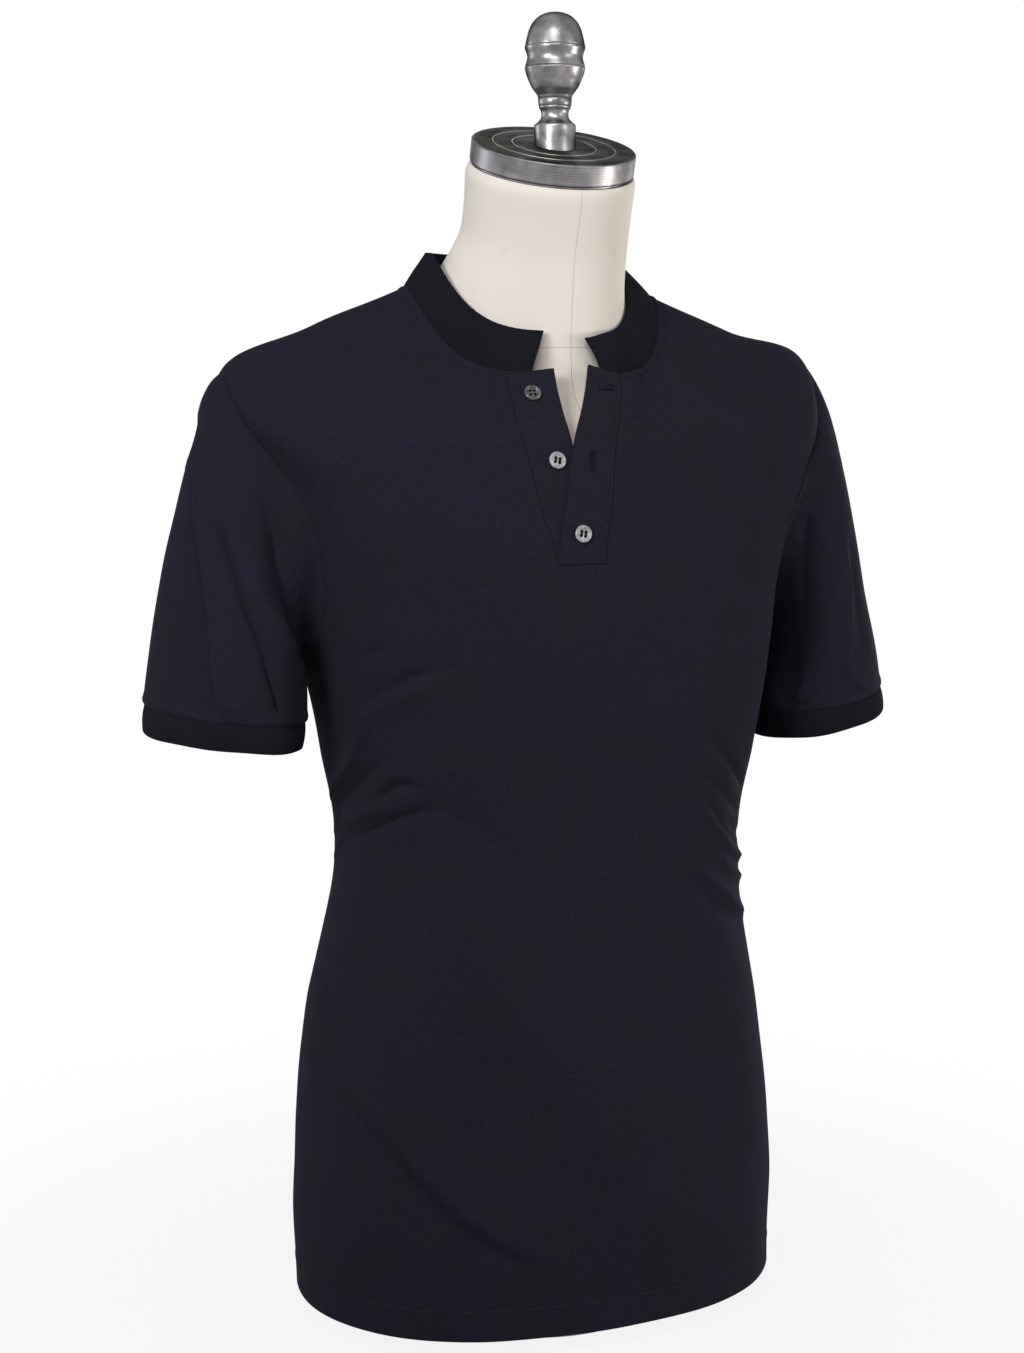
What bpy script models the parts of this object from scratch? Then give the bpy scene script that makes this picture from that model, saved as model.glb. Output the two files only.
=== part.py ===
"""Short-sleeved polo shirt with a ribbed band collar, worn by a limbless dress form on a low foot.

Metres, +Z up. The form faces -Y, +X is the wearer's left, and the foot stands on z = 0 at the origin.
Each cloth panel is a loft between ring sections, thickened with Solidify. Angles round the body are 0 at the
wearer's left side, 90 degrees at the centre front, 180 at the right side and 270 at the centre back.
"""

import math
from collections import namedtuple

import bmesh
import bpy
import numpy as np
from mathutils import Matrix, Vector

MM = 0.001

# Driving sizes of the shirt
CLOTH = 1.5 * MM  # pique knit wall
RIB = 2.0 * MM  # ribbed collar and cuff wall
SEAM = 0.5 * MM  # between the middles of two walls that run on in line
SLEEVE_SEAM = 0.7 * MM  # between the panels' edges and the sleeves, where they run on in line
RIDGE_SEAM = 1.1 * MM  # between the middles of the front and the back, which meet at an angle on the shoulders
PLY = 2.08 * MM  # from the middle of a wall to the middle of the next ply lying on it
CUFF_HEIGHT = 17 * MM
BUTTON_RADIUS = 5.7 * MM
BUTTON_THICK = 2.6 * MM

# Driving sizes of the dress form
NECK_TILT = math.radians(17)  # the neck's top leans forward
NECK_NORMAL = Vector((0, -math.sin(NECK_TILT), math.cos(NECK_TILT)))
NECK_TOP = Vector((0.0, -0.028, 0.7906))  # middle of the neck's flat top
NECK_TOP_RADIUS = 0.0560
CAP_RADIUS = 0.0550
CAP_THICK = 0.0165
CAP_SHIFT = Vector((-0.0005, 0, 0))  # the cap sits a little off the neck's middle
FINIAL_SHIFT = Vector((0.0006, 0, 0))
FOOT_RADIUS = 0.092
FOOT_THICK = 0.009
COLUMN_RADIUS = 0.021
TORSO_BOTTOM = 0.068
CLEAR = 0.3 * MM

Ring = namedtuple("Ring", "name z_side z_front z_back lean half_width x_side x_front y_side y_front y_back square cells")

# The shirt's body, hem to neckline, on the middle of the cloth. It hangs a little towards the wearer's right, so the
# rings' middles are off x = 0. "lean" is how much lower the wearer's left side lies than the middle, and "cells" is
# how many mesh rows lead to the next ring.
SHIRT = (
    Ring("hem", 0.016, 0.016, 0.016, 0.000, 0.1715, 0.000, 0.000, 0.002, -0.124, 0.128, 0.040, 2),
    Ring("hip", 0.100, 0.100, 0.100, 0.000, 0.1725, -0.001, 0.000, 0.002, -0.127, 0.129, 0.040, 3),
    Ring("high_hip", 0.210, 0.210, 0.210, 0.000, 0.1615, -0.003, 0.000, 0.000, -0.124, 0.120, 0.040, 3),
    Ring("waist", 0.320, 0.320, 0.320, 0.000, 0.1420, 0.000, 0.000, 0.000, -0.118, 0.109, 0.045, 2),
    Ring("ribs", 0.400, 0.400, 0.400, 0.000, 0.1510, 0.000, 0.000, 0.000, -0.120, 0.111, 0.055, 2),
    Ring("underarm", 0.465, 0.465, 0.465, 0.000, 0.1650, 0.000, -0.004, 0.000, -0.122, 0.114, 0.060, 2),
    Ring("placket_foot", 0.515, 0.540, 0.520, 0.000, 0.1750, -0.002, -0.009, 0.000, -0.120, 0.117, 0.065, 4),
    Ring("chest", 0.590, 0.575, 0.580, 0.000, 0.1910, -0.005, -0.009, 0.000, -0.113, 0.118, 0.060, 4),
    Ring("shoulder_tip", 0.660, 0.613, 0.630, -0.0025, 0.2120, -0.008, -0.008, 0.002, -0.101, 0.106, 0.040, 2),
    Ring("mid_shoulder", 0.686, 0.634, 0.668, 0.003, 0.1520, -0.005, -0.008, 0.005, -0.090, 0.086, 0.020, 2),
    Ring("neckline", 0.711, 0.6572, 0.700, 0.003, 0.0885, -0.002, -0.008, 0.008, -0.075, 0.066, 0.000, 0),
)

# The band collar, on the middle of its wall, from just above the neckline to its free edge.
COLLAR = (
    Ring("seam", 0.7124, 0.6582, 0.7008, 0.003, 0.0881, -0.002, -0.008, 0.008, -0.0748, 0.0656, 0.000, 2),
    Ring("free_edge", 0.7330, 0.6840, 0.7340, 0.003, 0.0685, -0.0065, -0.005, 0.004, -0.0680, 0.0580, 0.000, 0),
)

# The form's surface, bottom plate to the neck's top rim.
FORM = (
    Ring("bottom", 0.068, 0.068, 0.068, 0.000, 0.1500, 0.000, 0.000, 0.000, -0.104, 0.108, 0.040, 2),
    Ring("hip", 0.110, 0.110, 0.110, 0.000, 0.1630, 0.000, 0.000, 0.000, -0.111, 0.114, 0.040, 3),
    Ring("high_hip", 0.210, 0.210, 0.210, 0.000, 0.1530, 0.000, 0.000, 0.000, -0.107, 0.106, 0.040, 3),
    Ring("waist", 0.320, 0.320, 0.320, 0.000, 0.1370, 0.000, 0.000, 0.000, -0.101, 0.096, 0.045, 2),
    Ring("ribs", 0.400, 0.400, 0.400, 0.000, 0.1450, 0.000, 0.000, 0.000, -0.106, 0.102, 0.050, 2),
    Ring("underarm", 0.470, 0.465, 0.465, 0.000, 0.1580, 0.000, 0.000, 0.000, -0.113, 0.108, 0.055, 2),
    Ring("low_chest", 0.520, 0.528, 0.520, 0.000, 0.1670, 0.000, 0.000, 0.000, -0.113, 0.111, 0.055, 3),
    Ring("chest", 0.590, 0.572, 0.580, 0.000, 0.1800, 0.000, 0.000, 0.000, -0.107, 0.112, 0.050, 3),
    Ring("shoulder_tip", 0.646, 0.607, 0.626, 0.000, 0.1930, 0.000, 0.000, 0.002, -0.096, 0.101, 0.040, 2),
    Ring("mid_shoulder", 0.6852, 0.629, 0.664, 0.003, 0.1460, 0.000, 0.000, 0.005, -0.085, 0.081, 0.020, 2),
    Ring("neck_base", 0.7060, 0.648, 0.692, 0.002, 0.0820, 0.000, 0.000, 0.007, -0.067, 0.059, 0.000, 2),
    Ring("low_neck", 0.722, 0.682, 0.720, 0.000, 0.0650, -0.006, -0.003, 0.002, -0.0630, 0.0545, 0.000, 2),
)

ARMHOLE_FRONT = math.radians(27)  # how far round from the side the armhole opens
ARMHOLE_BACK = math.radians(27)

# The sleeves' openings, where the cuffs are sewn on. Both are given on the wearer's left; the right one is mirrored.
Sleeve = namedtuple("Sleeve", "name side end axis half_out half_deep")
SLEEVES = (
    Sleeve("left", 1, Vector((0.2120, -0.004, 0.4230)), Vector((0.20, 0, -1)).normalized(), 0.0490, 0.0580),
    Sleeve("right", -1, Vector((0.2230, -0.002, 0.4345)), Vector((0.115, 0, -1)).normalized(), 0.0520, 0.0640),
)
SLEEVE_CELLS = 10

# The largest folds: soft straight ridges, or troughs where the height is negative, which fade out at both ends.
# On the body a fold runs from one angle and height to another; on a sleeve from one turn, with 0 outside and 90
# in front, and share of the way from armhole to cuff, to another.
Fold = namedtuple("Fold", "name from_angle from_up to_angle to_up height width")
BODY_FOLDS = (
    Fold("hip_drape_right", 186, 0.250, 104, 0.062, -0.0030, 0.020),
    Fold("hip_bulge_right", 176, 0.200, 126, 0.085, 0.0025, 0.024),
    Fold("waist_tuck_right", 182, 0.335, 130, 0.388, -0.0028, 0.018),
    Fold("waist_tuck_left", 24, 0.295, 58, 0.350, -0.0024, 0.018),
    Fold("chest_drape_left", 34, 0.500, 66, 0.420, 0.0016, 0.026),
    Fold("back_waist_roll", 222, 0.345, 322, 0.352, -0.0032, 0.018),
    Fold("back_waist_bulge", 230, 0.385, 310, 0.380, 0.0028, 0.020),
    Fold("back_shoulder_drape", 222, 0.560, 252, 0.430, 0.0020, 0.028),
    Fold("back_hip_drape", 338, 0.240, 286, 0.090, -0.0026, 0.022),
)
SLEEVE_FOLDS = (
    Fold("outer_ridge", 8, 0.16, 68, 1.00, 0.0034, 0.011),
    Fold("front_crease", 34, 0.34, 122, 1.00, -0.0028, 0.010),
    Fold("inner_ridge", 80, 0.40, 150, 0.90, 0.0026, 0.012),
    Fold("back_ridge", 330, 0.22, 292, 1.00, 0.0030, 0.013),
    Fold("back_crease", 300, 0.30, 252, 0.96, -0.0028, 0.013),
)
BODY_REACH = 0.145  # mean radii that turn a fold's angles into distances
SLEEVE_REACH = 0.056
SLEEVE_RUN = 0.200  # mean length of a sleeve

# The placket slit's edges and the strips' free edges: distances round the front from the centre line,
# towards the wearer's left, at the foot of the placket and at the neckline.
Edge = namedtuple("Edge", "foot top bend")
SLIT_RIGHT = Edge(-0.0225, -0.0420, -0.006)  # on the wearer's right, where the button strip is sewn on
SLIT_LEFT = Edge(0.0070, 0.0355, -0.001)
BUTTON_STRIP_FREE = Edge(0.0060, -0.0092, -0.0045)
HOLE_STRIP_FREE = Edge(-0.0225, 0.0145, -0.002)
HOLE_STRIP_SEWN = Edge(0.0100, 0.0400, -0.001)
SLIT_COLUMNS = 2  # mesh columns between the slit's edges, below the placket
SIDE_COLUMNS = 9  # mesh columns from a side seam to the slit

# The band's two ends, set back from the strips' free edges.
BAND_LEFT_END = Edge(0.0270, 0.0135, 0.000)
BAND_RIGHT_END = Edge(-0.0242, -0.0160, 0.000)

Button = namedtuple("Button", "name strip up across")  # up the placket and across its strip, 0 to 1
BUTTONS = (
    Button("button_top", "button_strip", 0.855, 0.560),
    Button("button_middle", "button_strip", 0.425, 0.43),
    Button("button_bottom", "hole_strip", 0.092, 0.565),
)

MATERIALS = {
    "pique": ((0.014, 0.014, 0.022), 0.90, 0.0),
    "rib": ((0.007, 0.007, 0.010), 0.92, 0.0),
    "shell": ((0.09, 0.09, 0.10), 0.25, 0.0),
    "canvas": ((0.72, 0.67, 0.60), 0.85, 0.0),
    "metal": ((0.42, 0.42, 0.43), 0.35, 1.0),
}

RING_INDEX = {ring.name: k for k, ring in enumerate(SHIRT)}
UNDERARM = RING_INDEX["underarm"]
PLACKET_FOOT = RING_INDEX["placket_foot"]
SHOULDER_TIP = RING_INDEX["shoulder_tip"]
NECKLINE = RING_INDEX["neckline"]


# ---------------------------------------------------------------- sections


def read_ring(rings, at):
    """The ring at a fractional place in its table, each size on a smooth cubic through its neighbours."""
    last = len(rings) - 1
    low = min(max(int(at), 0), last - 1)
    before, start, end, after = (
        np.array(rings[min(max(k, 0), last)][1:-1], float) for k in range(low - 1, low + 3)
    )
    slope_start = (end - before) / 2 if low > 0 else end - start
    slope_end = (after - start) / 2 if low < last - 1 else end - start
    t = at - low
    sizes = (
        (2 * t**3 - 3 * t**2 + 1) * start
        + (t**3 - 2 * t**2 + t) * slope_start
        + (3 * t**2 - 2 * t**3) * end
        + (t**3 - t**2) * slope_end
    )
    return Ring("", *sizes, 0)


def ring_point(rings, at, angle):
    """The point of a ring at this angle round the body."""
    ring = read_ring(rings, at)
    across, forward = math.cos(angle), math.sin(angle)
    swell = 1 + ring.square * math.sin(2 * angle) ** 2
    y_mid, z_mid, x_mid = ring.y_back, ring.z_back, ring.x_side
    if forward > 0:
        y_mid, z_mid, x_mid = ring.y_front, ring.z_front, ring.x_front
    fall = 1 - (1 - abs(forward) ** 1.5) ** 2.2  # quick off the shoulder, then level across the middle
    return Vector((
        ring.x_side + (x_mid - ring.x_side) * forward**2 + ring.half_width * across * swell,
        ring.y_side + (y_mid - ring.y_side) * abs(forward) * swell,
        ring.z_side + (z_mid - ring.z_side) * fall - ring.lean * across,
    ))


def ring_normal(rings, at, angle):
    """The outward normal of the surface through the rings."""
    step = 0.01
    low, high = max(at - step, 0), min(at + step, len(rings) - 1)
    up = ring_point(rings, high, angle) - ring_point(rings, low, angle)
    round_it = ring_point(rings, at, angle + step) - ring_point(rings, at, angle - step)
    return up.cross(round_it).normalized()


def fold_lift(folds, angle, up, reach, run):
    """How far the folds move a point outwards."""
    lift = 0.0
    for fold in folds:
        start = Vector((math.radians(fold.from_angle) * reach, fold.from_up * run))
        line = Vector((math.radians(fold.to_angle) * reach, fold.to_up * run)) - start
        offset = Vector(((angle % math.tau) * reach, up * run)) - start
        share = offset.dot(line) / line.length_squared
        if 0 < share < 1:
            beside = line.normalized().cross(offset) / fold.width
            lift += fold.height * math.exp(-beside**2) * (4 * share * (1 - share)) ** 0.6
    return lift


def on_shirt(at, angle, out=0.0):
    """A point of the shirt's body with its folds, moved out by this much."""
    point = ring_point(SHIRT, at, angle)
    lift = fold_lift(BODY_FOLDS, angle, point.z, BODY_REACH, 1)
    return point + (out + lift) * ring_normal(SHIRT, at, angle)


def row_places(rings, first=0, last=None):
    """The fractional table places of the mesh rows between two rings."""
    last = len(rings) - 1 if last is None else last
    rows = [k + i / rings[k].cells for k in range(first, last) for i in range(rings[k].cells)]
    return rows + [last]


def spaced(start, end, cells):
    """Evenly spaced values from start to end."""
    return [start + (end - start) * i / cells for i in range(cells + 1)]


def edge_distance(edge, at):
    """How far round the front an edge lies from the centre line at this row; below the placket it runs straight."""
    share = min(max((at - PLACKET_FOOT) / (NECKLINE - PLACKET_FOOT), 0), 1)
    return edge.foot + (edge.top - edge.foot) * share + edge.bend * 4 * share * (1 - share)


def front_angle(rings, at, distance):
    """The angle of a point that lies this far round from the centre front, towards the wearer's left."""
    return math.pi / 2 - distance / read_ring(rings, at).half_width


# ---------------------------------------------------------------- meshes


def new_object(name, mesh, material, collection):
    piece = bpy.data.objects.new(name, mesh)
    collection.objects.link(piece)
    mesh.materials.append(bpy.data.materials[material])
    return piece


def loft(name, rows, closed=False, skip=None):
    """A mesh of quads over rows of points. skip(row, column) leaves a cell out."""
    mesh = bpy.data.meshes.new(name)
    bm = bmesh.new()
    grid = [[bm.verts.new(point) for point in row] for row in rows]
    columns = len(rows[0]) if closed else len(rows[0]) - 1
    for r in range(len(rows) - 1):
        for c in range(columns):
            if skip and skip(r, c):
                continue
            after = (c + 1) % len(rows[0])
            bm.faces.new((grid[r][c], grid[r][after], grid[r + 1][after], grid[r + 1][c]))
    bmesh.ops.delete(bm, geom=[v for v in bm.verts if not v.link_faces], context="VERTS")
    bm.to_mesh(mesh)
    bm.free()
    mesh.shade_smooth()
    return mesh


def cloth_piece(name, rows, material, collection, thick=CLOTH, closed=False, skip=None):
    """A panel of cloth whose middle is the lofted surface."""
    piece = new_object(name, loft(name, rows, closed, skip), material, collection)
    wall = piece.modifiers.new("wall", "SOLIDIFY")
    wall.thickness = thick
    wall.offset = 0
    return piece


# ---------------------------------------------------------------- shirt


def armhole_angle(at, widest):
    """How far round from the side a panel's armhole edge lies: nothing at the underarm and the shoulder tip."""
    share = (at - UNDERARM) / (SHOULDER_TIP - UNDERARM)
    if not 0 < share < 1:
        return 0.0
    return widest * math.sin(math.pi * share) ** 0.5


def panel_start(at, widest):
    """The angle from the side at which a panel starts: at the armhole, or half a seam from the side line."""
    ring = read_ring(SHIRT, at)
    seam = SEAM if at < SHOULDER_TIP else RIDGE_SEAM
    return max(armhole_angle(at, widest), seam / 2 / (ring.y_side - ring.y_front))


def front_row(at):
    """Angles of the front panel's columns, from the wearer's left to the right, with a column at each slit edge."""
    side = panel_start(at, ARMHOLE_FRONT)
    slit_left = front_angle(SHIRT, at, edge_distance(SLIT_LEFT, at) + SEAM / 2)
    slit_right = front_angle(SHIRT, at, edge_distance(SLIT_RIGHT, at) - SEAM / 2)
    return (
        spaced(side, slit_left, SIDE_COLUMNS)
        + spaced(slit_left, slit_right, SLIT_COLUMNS)[1:]
        + spaced(slit_right, math.pi - side, SIDE_COLUMNS)[1:]
    )


def make_front(collection):
    places = row_places(SHIRT)
    foot_row = places.index(PLACKET_FOOT)
    rows = [[on_shirt(at, angle) for angle in front_row(at)] for at in places]

    def in_slit(row, column):
        return row >= foot_row and SIDE_COLUMNS <= column < SIDE_COLUMNS + SLIT_COLUMNS

    return cloth_piece("front", rows, "pique", collection, skip=in_slit)


def make_back(collection):
    columns = 2 * SIDE_COLUMNS + SLIT_COLUMNS
    rows = []
    for at in row_places(SHIRT):
        side = panel_start(at, ARMHOLE_BACK)
        rows.append([on_shirt(at, -angle) for angle in spaced(math.pi - side, side, columns)])
    return cloth_piece("back", rows, "pique", collection)


def strip_rows(left, right, first, out, columns=3):
    """Rows of a placket strip between two edges, from this place up to the neckline."""
    places = [first] + [at for at in row_places(SHIRT, PLACKET_FOOT) if at > first + 0.05]
    return [
        [
            on_shirt(at, front_angle(SHIRT, at, distance), out)
            for distance in spaced(edge_distance(left, at), edge_distance(right, at), columns)
        ]
        for at in places
    ]


def moved(edge, by):
    """The edge, moved round the front by this much."""
    return Edge(edge.foot + by, edge.top + by, edge.bend)


STRIPS = {  # left edge, right edge, first row, distance out
    "button_strip": (BUTTON_STRIP_FREE, moved(SLIT_RIGHT, SEAM / 2), PLACKET_FOOT + 0.012, 0.0),
    "hole_strip": (HOLE_STRIP_SEWN, HOLE_STRIP_FREE, PLACKET_FOOT - 0.06, PLY),
}


def make_strips(collection):
    for name, (left, right, first, out) in STRIPS.items():
        cloth_piece(name, strip_rows(left, right, first, out), "pique", collection)


def make_collar(collection, columns=36):
    rows = []
    for at in row_places(COLLAR):
        share = at / (len(COLLAR) - 1)
        left = BAND_LEFT_END.foot + (BAND_LEFT_END.top - BAND_LEFT_END.foot) * share
        right = BAND_RIGHT_END.foot + (BAND_RIGHT_END.top - BAND_RIGHT_END.foot) * share
        start = front_angle(COLLAR, at, right)
        end = front_angle(COLLAR, at, left) + 2 * math.pi
        rows.append([ring_point(COLLAR, at, angle) for angle in spaced(start, end, columns)])
    rows = [row[::-1] for row in rows]
    return cloth_piece("collar_band", rows, "rib", collection, thick=RIB)


def armhole_loop(side):
    """Points and outward normals round an armhole, from the shoulder tip down the front and up the back.

    The right armhole's are given mirrored, as if they were on the left.
    """
    places = row_places(SHIRT, UNDERARM, SHOULDER_TIP)
    front = [(at, armhole_angle(at, ARMHOLE_FRONT)) for at in reversed(places)]
    back = [(at, -armhole_angle(at, ARMHOLE_BACK)) for at in places]
    loop = []
    for at, angle in front + back[1:-1]:
        angle = angle if side > 0 else math.pi - angle
        loop.append([Vector((v.x * side, v.y, v.z)) for v in (on_shirt(at, angle), ring_normal(SHIRT, at, angle))])
    return loop


def sleeve_ring(sleeve, turn, drop=0.0, wider=0.0):
    """The sleeve's opening, on the left side's plan: turn is 0 outside, 90 degrees in front."""
    outwards = Vector((-sleeve.axis.z, 0, sleeve.axis.x))
    return (
        sleeve.end
        + sleeve.axis * drop
        + outwards * (sleeve.half_out + wider) * math.cos(turn)
        + Vector((0, -1, 0)) * (sleeve.half_deep + wider) * math.sin(turn)
    )


def sleeve_point(sleeve, edge, normal, turn, t):
    """A point down one column of a sleeve: out over the seam, then down to the opening."""
    under = (1 - math.cos(turn)) / 2
    leave = Vector((1, -0.15 * math.sin(turn), -0.42 + 1.1 * under)).normalized()
    start = edge + leave * (SLEEVE_SEAM + CLOTH / 2 * abs(normal.dot(leave)))
    end = sleeve_ring(sleeve, turn)
    return (
        (2 * t**3 - 3 * t**2 + 1) * start
        + (t**3 - 2 * t**2 + t) * leave * (0.071 - 0.011 * under)
        + (3 * t**2 - 2 * t**3) * end
        + (t**3 - t**2) * sleeve.axis * (end - start).length
    )


def sleeve_rows(sleeve):
    """The sleeve's rows from the armhole to the cuff, with its folds, on the left side's plan."""
    loop = armhole_loop(sleeve.side)
    turns = [2 * math.pi * k / len(loop) for k in range(len(loop))]
    rows = []
    for t in spaced(0, 1, SLEEVE_CELLS):
        row = [sleeve_point(sleeve, edge, normal, turn, t) for (edge, normal), turn in zip(loop, turns)]
        middle = sum(row, Vector()) / len(row)
        for k, turn in enumerate(turns):
            lift = fold_lift(SLEEVE_FOLDS, turn, t, SLEEVE_REACH, SLEEVE_RUN)
            row[k] = row[k] + (row[k] - middle).normalized() * lift
        rows.append(row)
    return rows, turns


def to_side(rows, side):
    """The left sleeve's rows on their own side of the body; mirrored rows run the other way round."""
    if side > 0:
        return rows
    return [[Vector((-p.x, p.y, p.z)) for p in row[::-1]] for row in rows]


def make_sleeve(sleeve, collection):
    rows, turns = sleeve_rows(sleeve)
    cloth_piece("sleeve_" + sleeve.name, to_side(rows, sleeve.side), "pique", collection, closed=True)
    cuff = [[sleeve_ring(sleeve, turn, SEAM + drop) for turn in turns] for drop in spaced(0, CUFF_HEIGHT, 2)]
    cloth_piece("cuff_" + sleeve.name, to_side(cuff, sleeve.side), "rib", collection, closed=True)


# ---------------------------------------------------------------- hard pieces


def turned(name, profile, material, collection, place, steps=32):
    """A turned piece: a profile of (radius, height) points, from the axis at the top down to the axis at the foot."""
    mesh = bpy.data.meshes.new(name)
    points = [(radius, 0, height) for radius, height in profile]
    mesh.from_pydata(points, [(k, k + 1) for k in range(len(points) - 1)], [])
    piece = new_object(name, mesh, material, collection)
    piece.matrix_world = place
    screw = piece.modifiers.new("turn", "SCREW")
    screw.steps = screw.render_steps = steps
    screw.use_merge_vertices = True
    screw.merge_threshold = 0.00001
    return piece


def cut(piece, cutter):
    """Takes the cutter out of the piece."""
    difference = piece.modifiers.new("cut", "BOOLEAN")
    difference.object = cutter
    return piece


def drill(name, radius, height, places, cutters):
    """One cutter of upright round holes, in the frame of the piece that it cuts."""
    mesh = bpy.data.meshes.new(name)
    bm = bmesh.new()
    for place in places:
        bmesh.ops.create_cone(
            bm, cap_ends=True, segments=8, radius1=radius, radius2=radius, depth=height,
            matrix=Matrix.Translation(place),
        )
    bm.to_mesh(mesh)
    bm.free()
    cutter = bpy.data.objects.new(name, mesh)
    cutters.objects.link(cutter)
    cutter.hide_render = True
    cutter.display_type = "WIRE"
    return cutter


def standing_on(point, normal, upright=Vector((0, 0, 1))):
    """The place of a piece whose own Z is this normal."""
    side = upright.cross(normal).normalized()
    up = normal.cross(side)
    matrix = Matrix((side, up, normal)).transposed().to_4x4()
    matrix.translation = point
    return matrix


def strip_place(strip, up, across, out):
    """A place on a placket strip, turned to face out from it."""
    left, right, _, lift = STRIPS[strip]
    at = PLACKET_FOOT + (NECKLINE - PLACKET_FOOT) * up
    left, right = edge_distance(left, at), edge_distance(right, at)
    angle = front_angle(SHIRT, at, left + (right - left) * across)
    return standing_on(on_shirt(at, angle, lift + out), ring_normal(SHIRT, at, angle))


def make_buttons(collection, cutters):
    """Four-hole shirt buttons with a raised rim and a dished middle."""
    radius, thick = BUTTON_RADIUS, BUTTON_THICK
    profile = (
        (0, 0.68 * thick), (0.50 * radius, 0.68 * thick), (0.66 * radius, 0.95 * thick), (0.80 * radius, thick),
        (0.94 * radius, 0.88 * thick), (radius, 0.60 * thick), (0.93 * radius, 0.22 * thick),
        (0.70 * radius, 0), (0, 0),
    )
    pitch = 0.21 * radius
    holes = [(x, y, thick / 2) for x in (-pitch, pitch) for y in (-pitch, pitch)]
    for button in BUTTONS:
        place = strip_place(button.strip, button.up, button.across, CLOTH / 2 + CLEAR)
        piece = turned(button.name, profile, "shell", collection, place, steps=20)
        cutter = drill(button.name + "_holes", 0.11 * radius, 2 * thick, holes, cutters)
        cutter.matrix_world = place
        cut(piece, cutter)




def neck_circle(radius, drop, count):
    """A circle round the leaning neck's top, this far below it; it starts at the wearer's left."""
    turns = [2 * math.pi * k / count for k in range(count)]
    return [
        NECK_TOP - NECK_NORMAL * drop
        + radius * (Vector((1, 0, 0)) * math.cos(turn) - NECK_NORMAL.cross(Vector((1, 0, 0))) * math.sin(turn))
        for turn in turns
    ]


def make_form(collection, columns=40):
    """The padded torso and neck as one closed body with a flat underside and a flat, leaning neck top."""
    angles = [2 * math.pi * k / columns for k in range(columns)]
    rows = [[ring_point(FORM, at, angle) for angle in angles] for at in row_places(FORM)]
    rows += [neck_circle(NECK_TOP_RADIUS + 0.01 * drop, drop, columns) for drop in (0.050, 0.036, 0.022, 0.006)]
    # a soft rim that stands up round the cap's lip, then the flat top that the cap sits on
    rows += [
        neck_circle(NECK_TOP_RADIUS + wider, -rise, columns)
        for wider, rise in ((0.0, 0.0008), (-0.0006, 0.0020), (-0.0014, 0.0018), (-0.0018, 0.0))
    ]
    mesh = loft("form_body", rows, closed=True)
    bm = bmesh.new()
    bm.from_mesh(mesh)
    bmesh.ops.holes_fill(bm, edges=[edge for edge in bm.edges if edge.is_boundary])
    bmesh.ops.recalc_face_normals(bm, faces=bm.faces)
    bm.to_mesh(mesh)
    bm.free()
    return new_object("form_body", mesh, "canvas", collection)


def make_neck_cap(collection):
    """A spun metal cap on the neck's top, with two turned rings and a thin lower lip."""
    radius, thick = CAP_RADIUS, CAP_THICK
    groove, depth = 0.0007, 0.0006
    rings = []
    for ring in (0.028, 0.041):
        rings += [(ring - groove, thick), (ring, thick - depth), (ring + groove, thick)]
    profile = [(0, thick)] + rings + [
        (radius - 0.0012, thick), (radius, thick - 0.0012), (radius, 0.0028), (radius - 0.0020, 0.0020),
        (radius - 0.0020, 0), (0, 0),
    ]
    place = standing_on(NECK_TOP + CAP_SHIFT + NECK_NORMAL * CLEAR, NECK_NORMAL)
    return turned("form_cap", profile, "metal", collection, place, steps=40)


def make_finial(collection, cutters):
    """A turned knob that stands upright on the leaning cap, its foot cut to the cap's slope."""
    cap_middle = NECK_TOP + CAP_SHIFT + NECK_NORMAL * (CLEAR + CAP_THICK)
    foot, waist, knob = 0.0139, 0.0090, 0.0200
    profile = (
        (0, 0.0863), (0.0052, 0.0858), (0.0104, 0.0836), (0.0147, 0.0797), (0.0173, 0.0748), (0.0186, 0.0702),
        (0.0197, 0.0655), (knob, 0.0635), (0.0193, 0.0606), (0.0184, 0.0574), (0.0189, 0.0540), (0.0198, 0.0516),
        (knob, 0.0500), (0.0194, 0.0470), (0.0186, 0.0445), (0.0176, 0.0422), (0.0165, 0.0396), (0.0151, 0.0370),
        (0.0134, 0.0348), (0.0119, 0.0328), (0.0113, 0.0309), (0.0111, 0.0280), (0.0105, 0.0248), (0.0094, 0.0225),
        (waist, 0.0203), (waist, 0.0193), (0.0100, 0.0167), (0.0123, 0.0145), (0.0136, 0.0134), (foot, 0.0122),
        (foot, -0.0080), (0, -0.0080),
    )
    piece = turned("form_finial", profile, "metal", collection, Matrix.Translation(cap_middle + FINIAL_SHIFT), steps=28)
    slab = drill("cap_slope", 0.04, 0.04, [(0, 0, CLEAR - 0.02)], cutters)
    slab.matrix_world = standing_on(cap_middle, NECK_NORMAL)
    return cut(piece, slab)


def make_foot(collection):
    """A short column under the torso and a round plate that the whole stands on."""
    top = TORSO_BOTTOM - CLEAR
    column = ((0, top), (COLUMN_RADIUS, top), (COLUMN_RADIUS, FOOT_THICK + CLEAR), (0, FOOT_THICK + CLEAR))
    edge = 0.0025
    plate = (
        (0, FOOT_THICK), (FOOT_RADIUS - edge, FOOT_THICK), (FOOT_RADIUS, FOOT_THICK - edge), (FOOT_RADIUS, 0), (0, 0),
    )
    turned("form_column", column, "metal", collection, Matrix.Identity(4), steps=32)
    turned("form_foot", plate, "metal", collection, Matrix.Identity(4), steps=48)


# ---------------------------------------------------------------- whole


def clear_scene():
    for obj in list(bpy.data.objects):
        bpy.data.objects.remove(obj)


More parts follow.
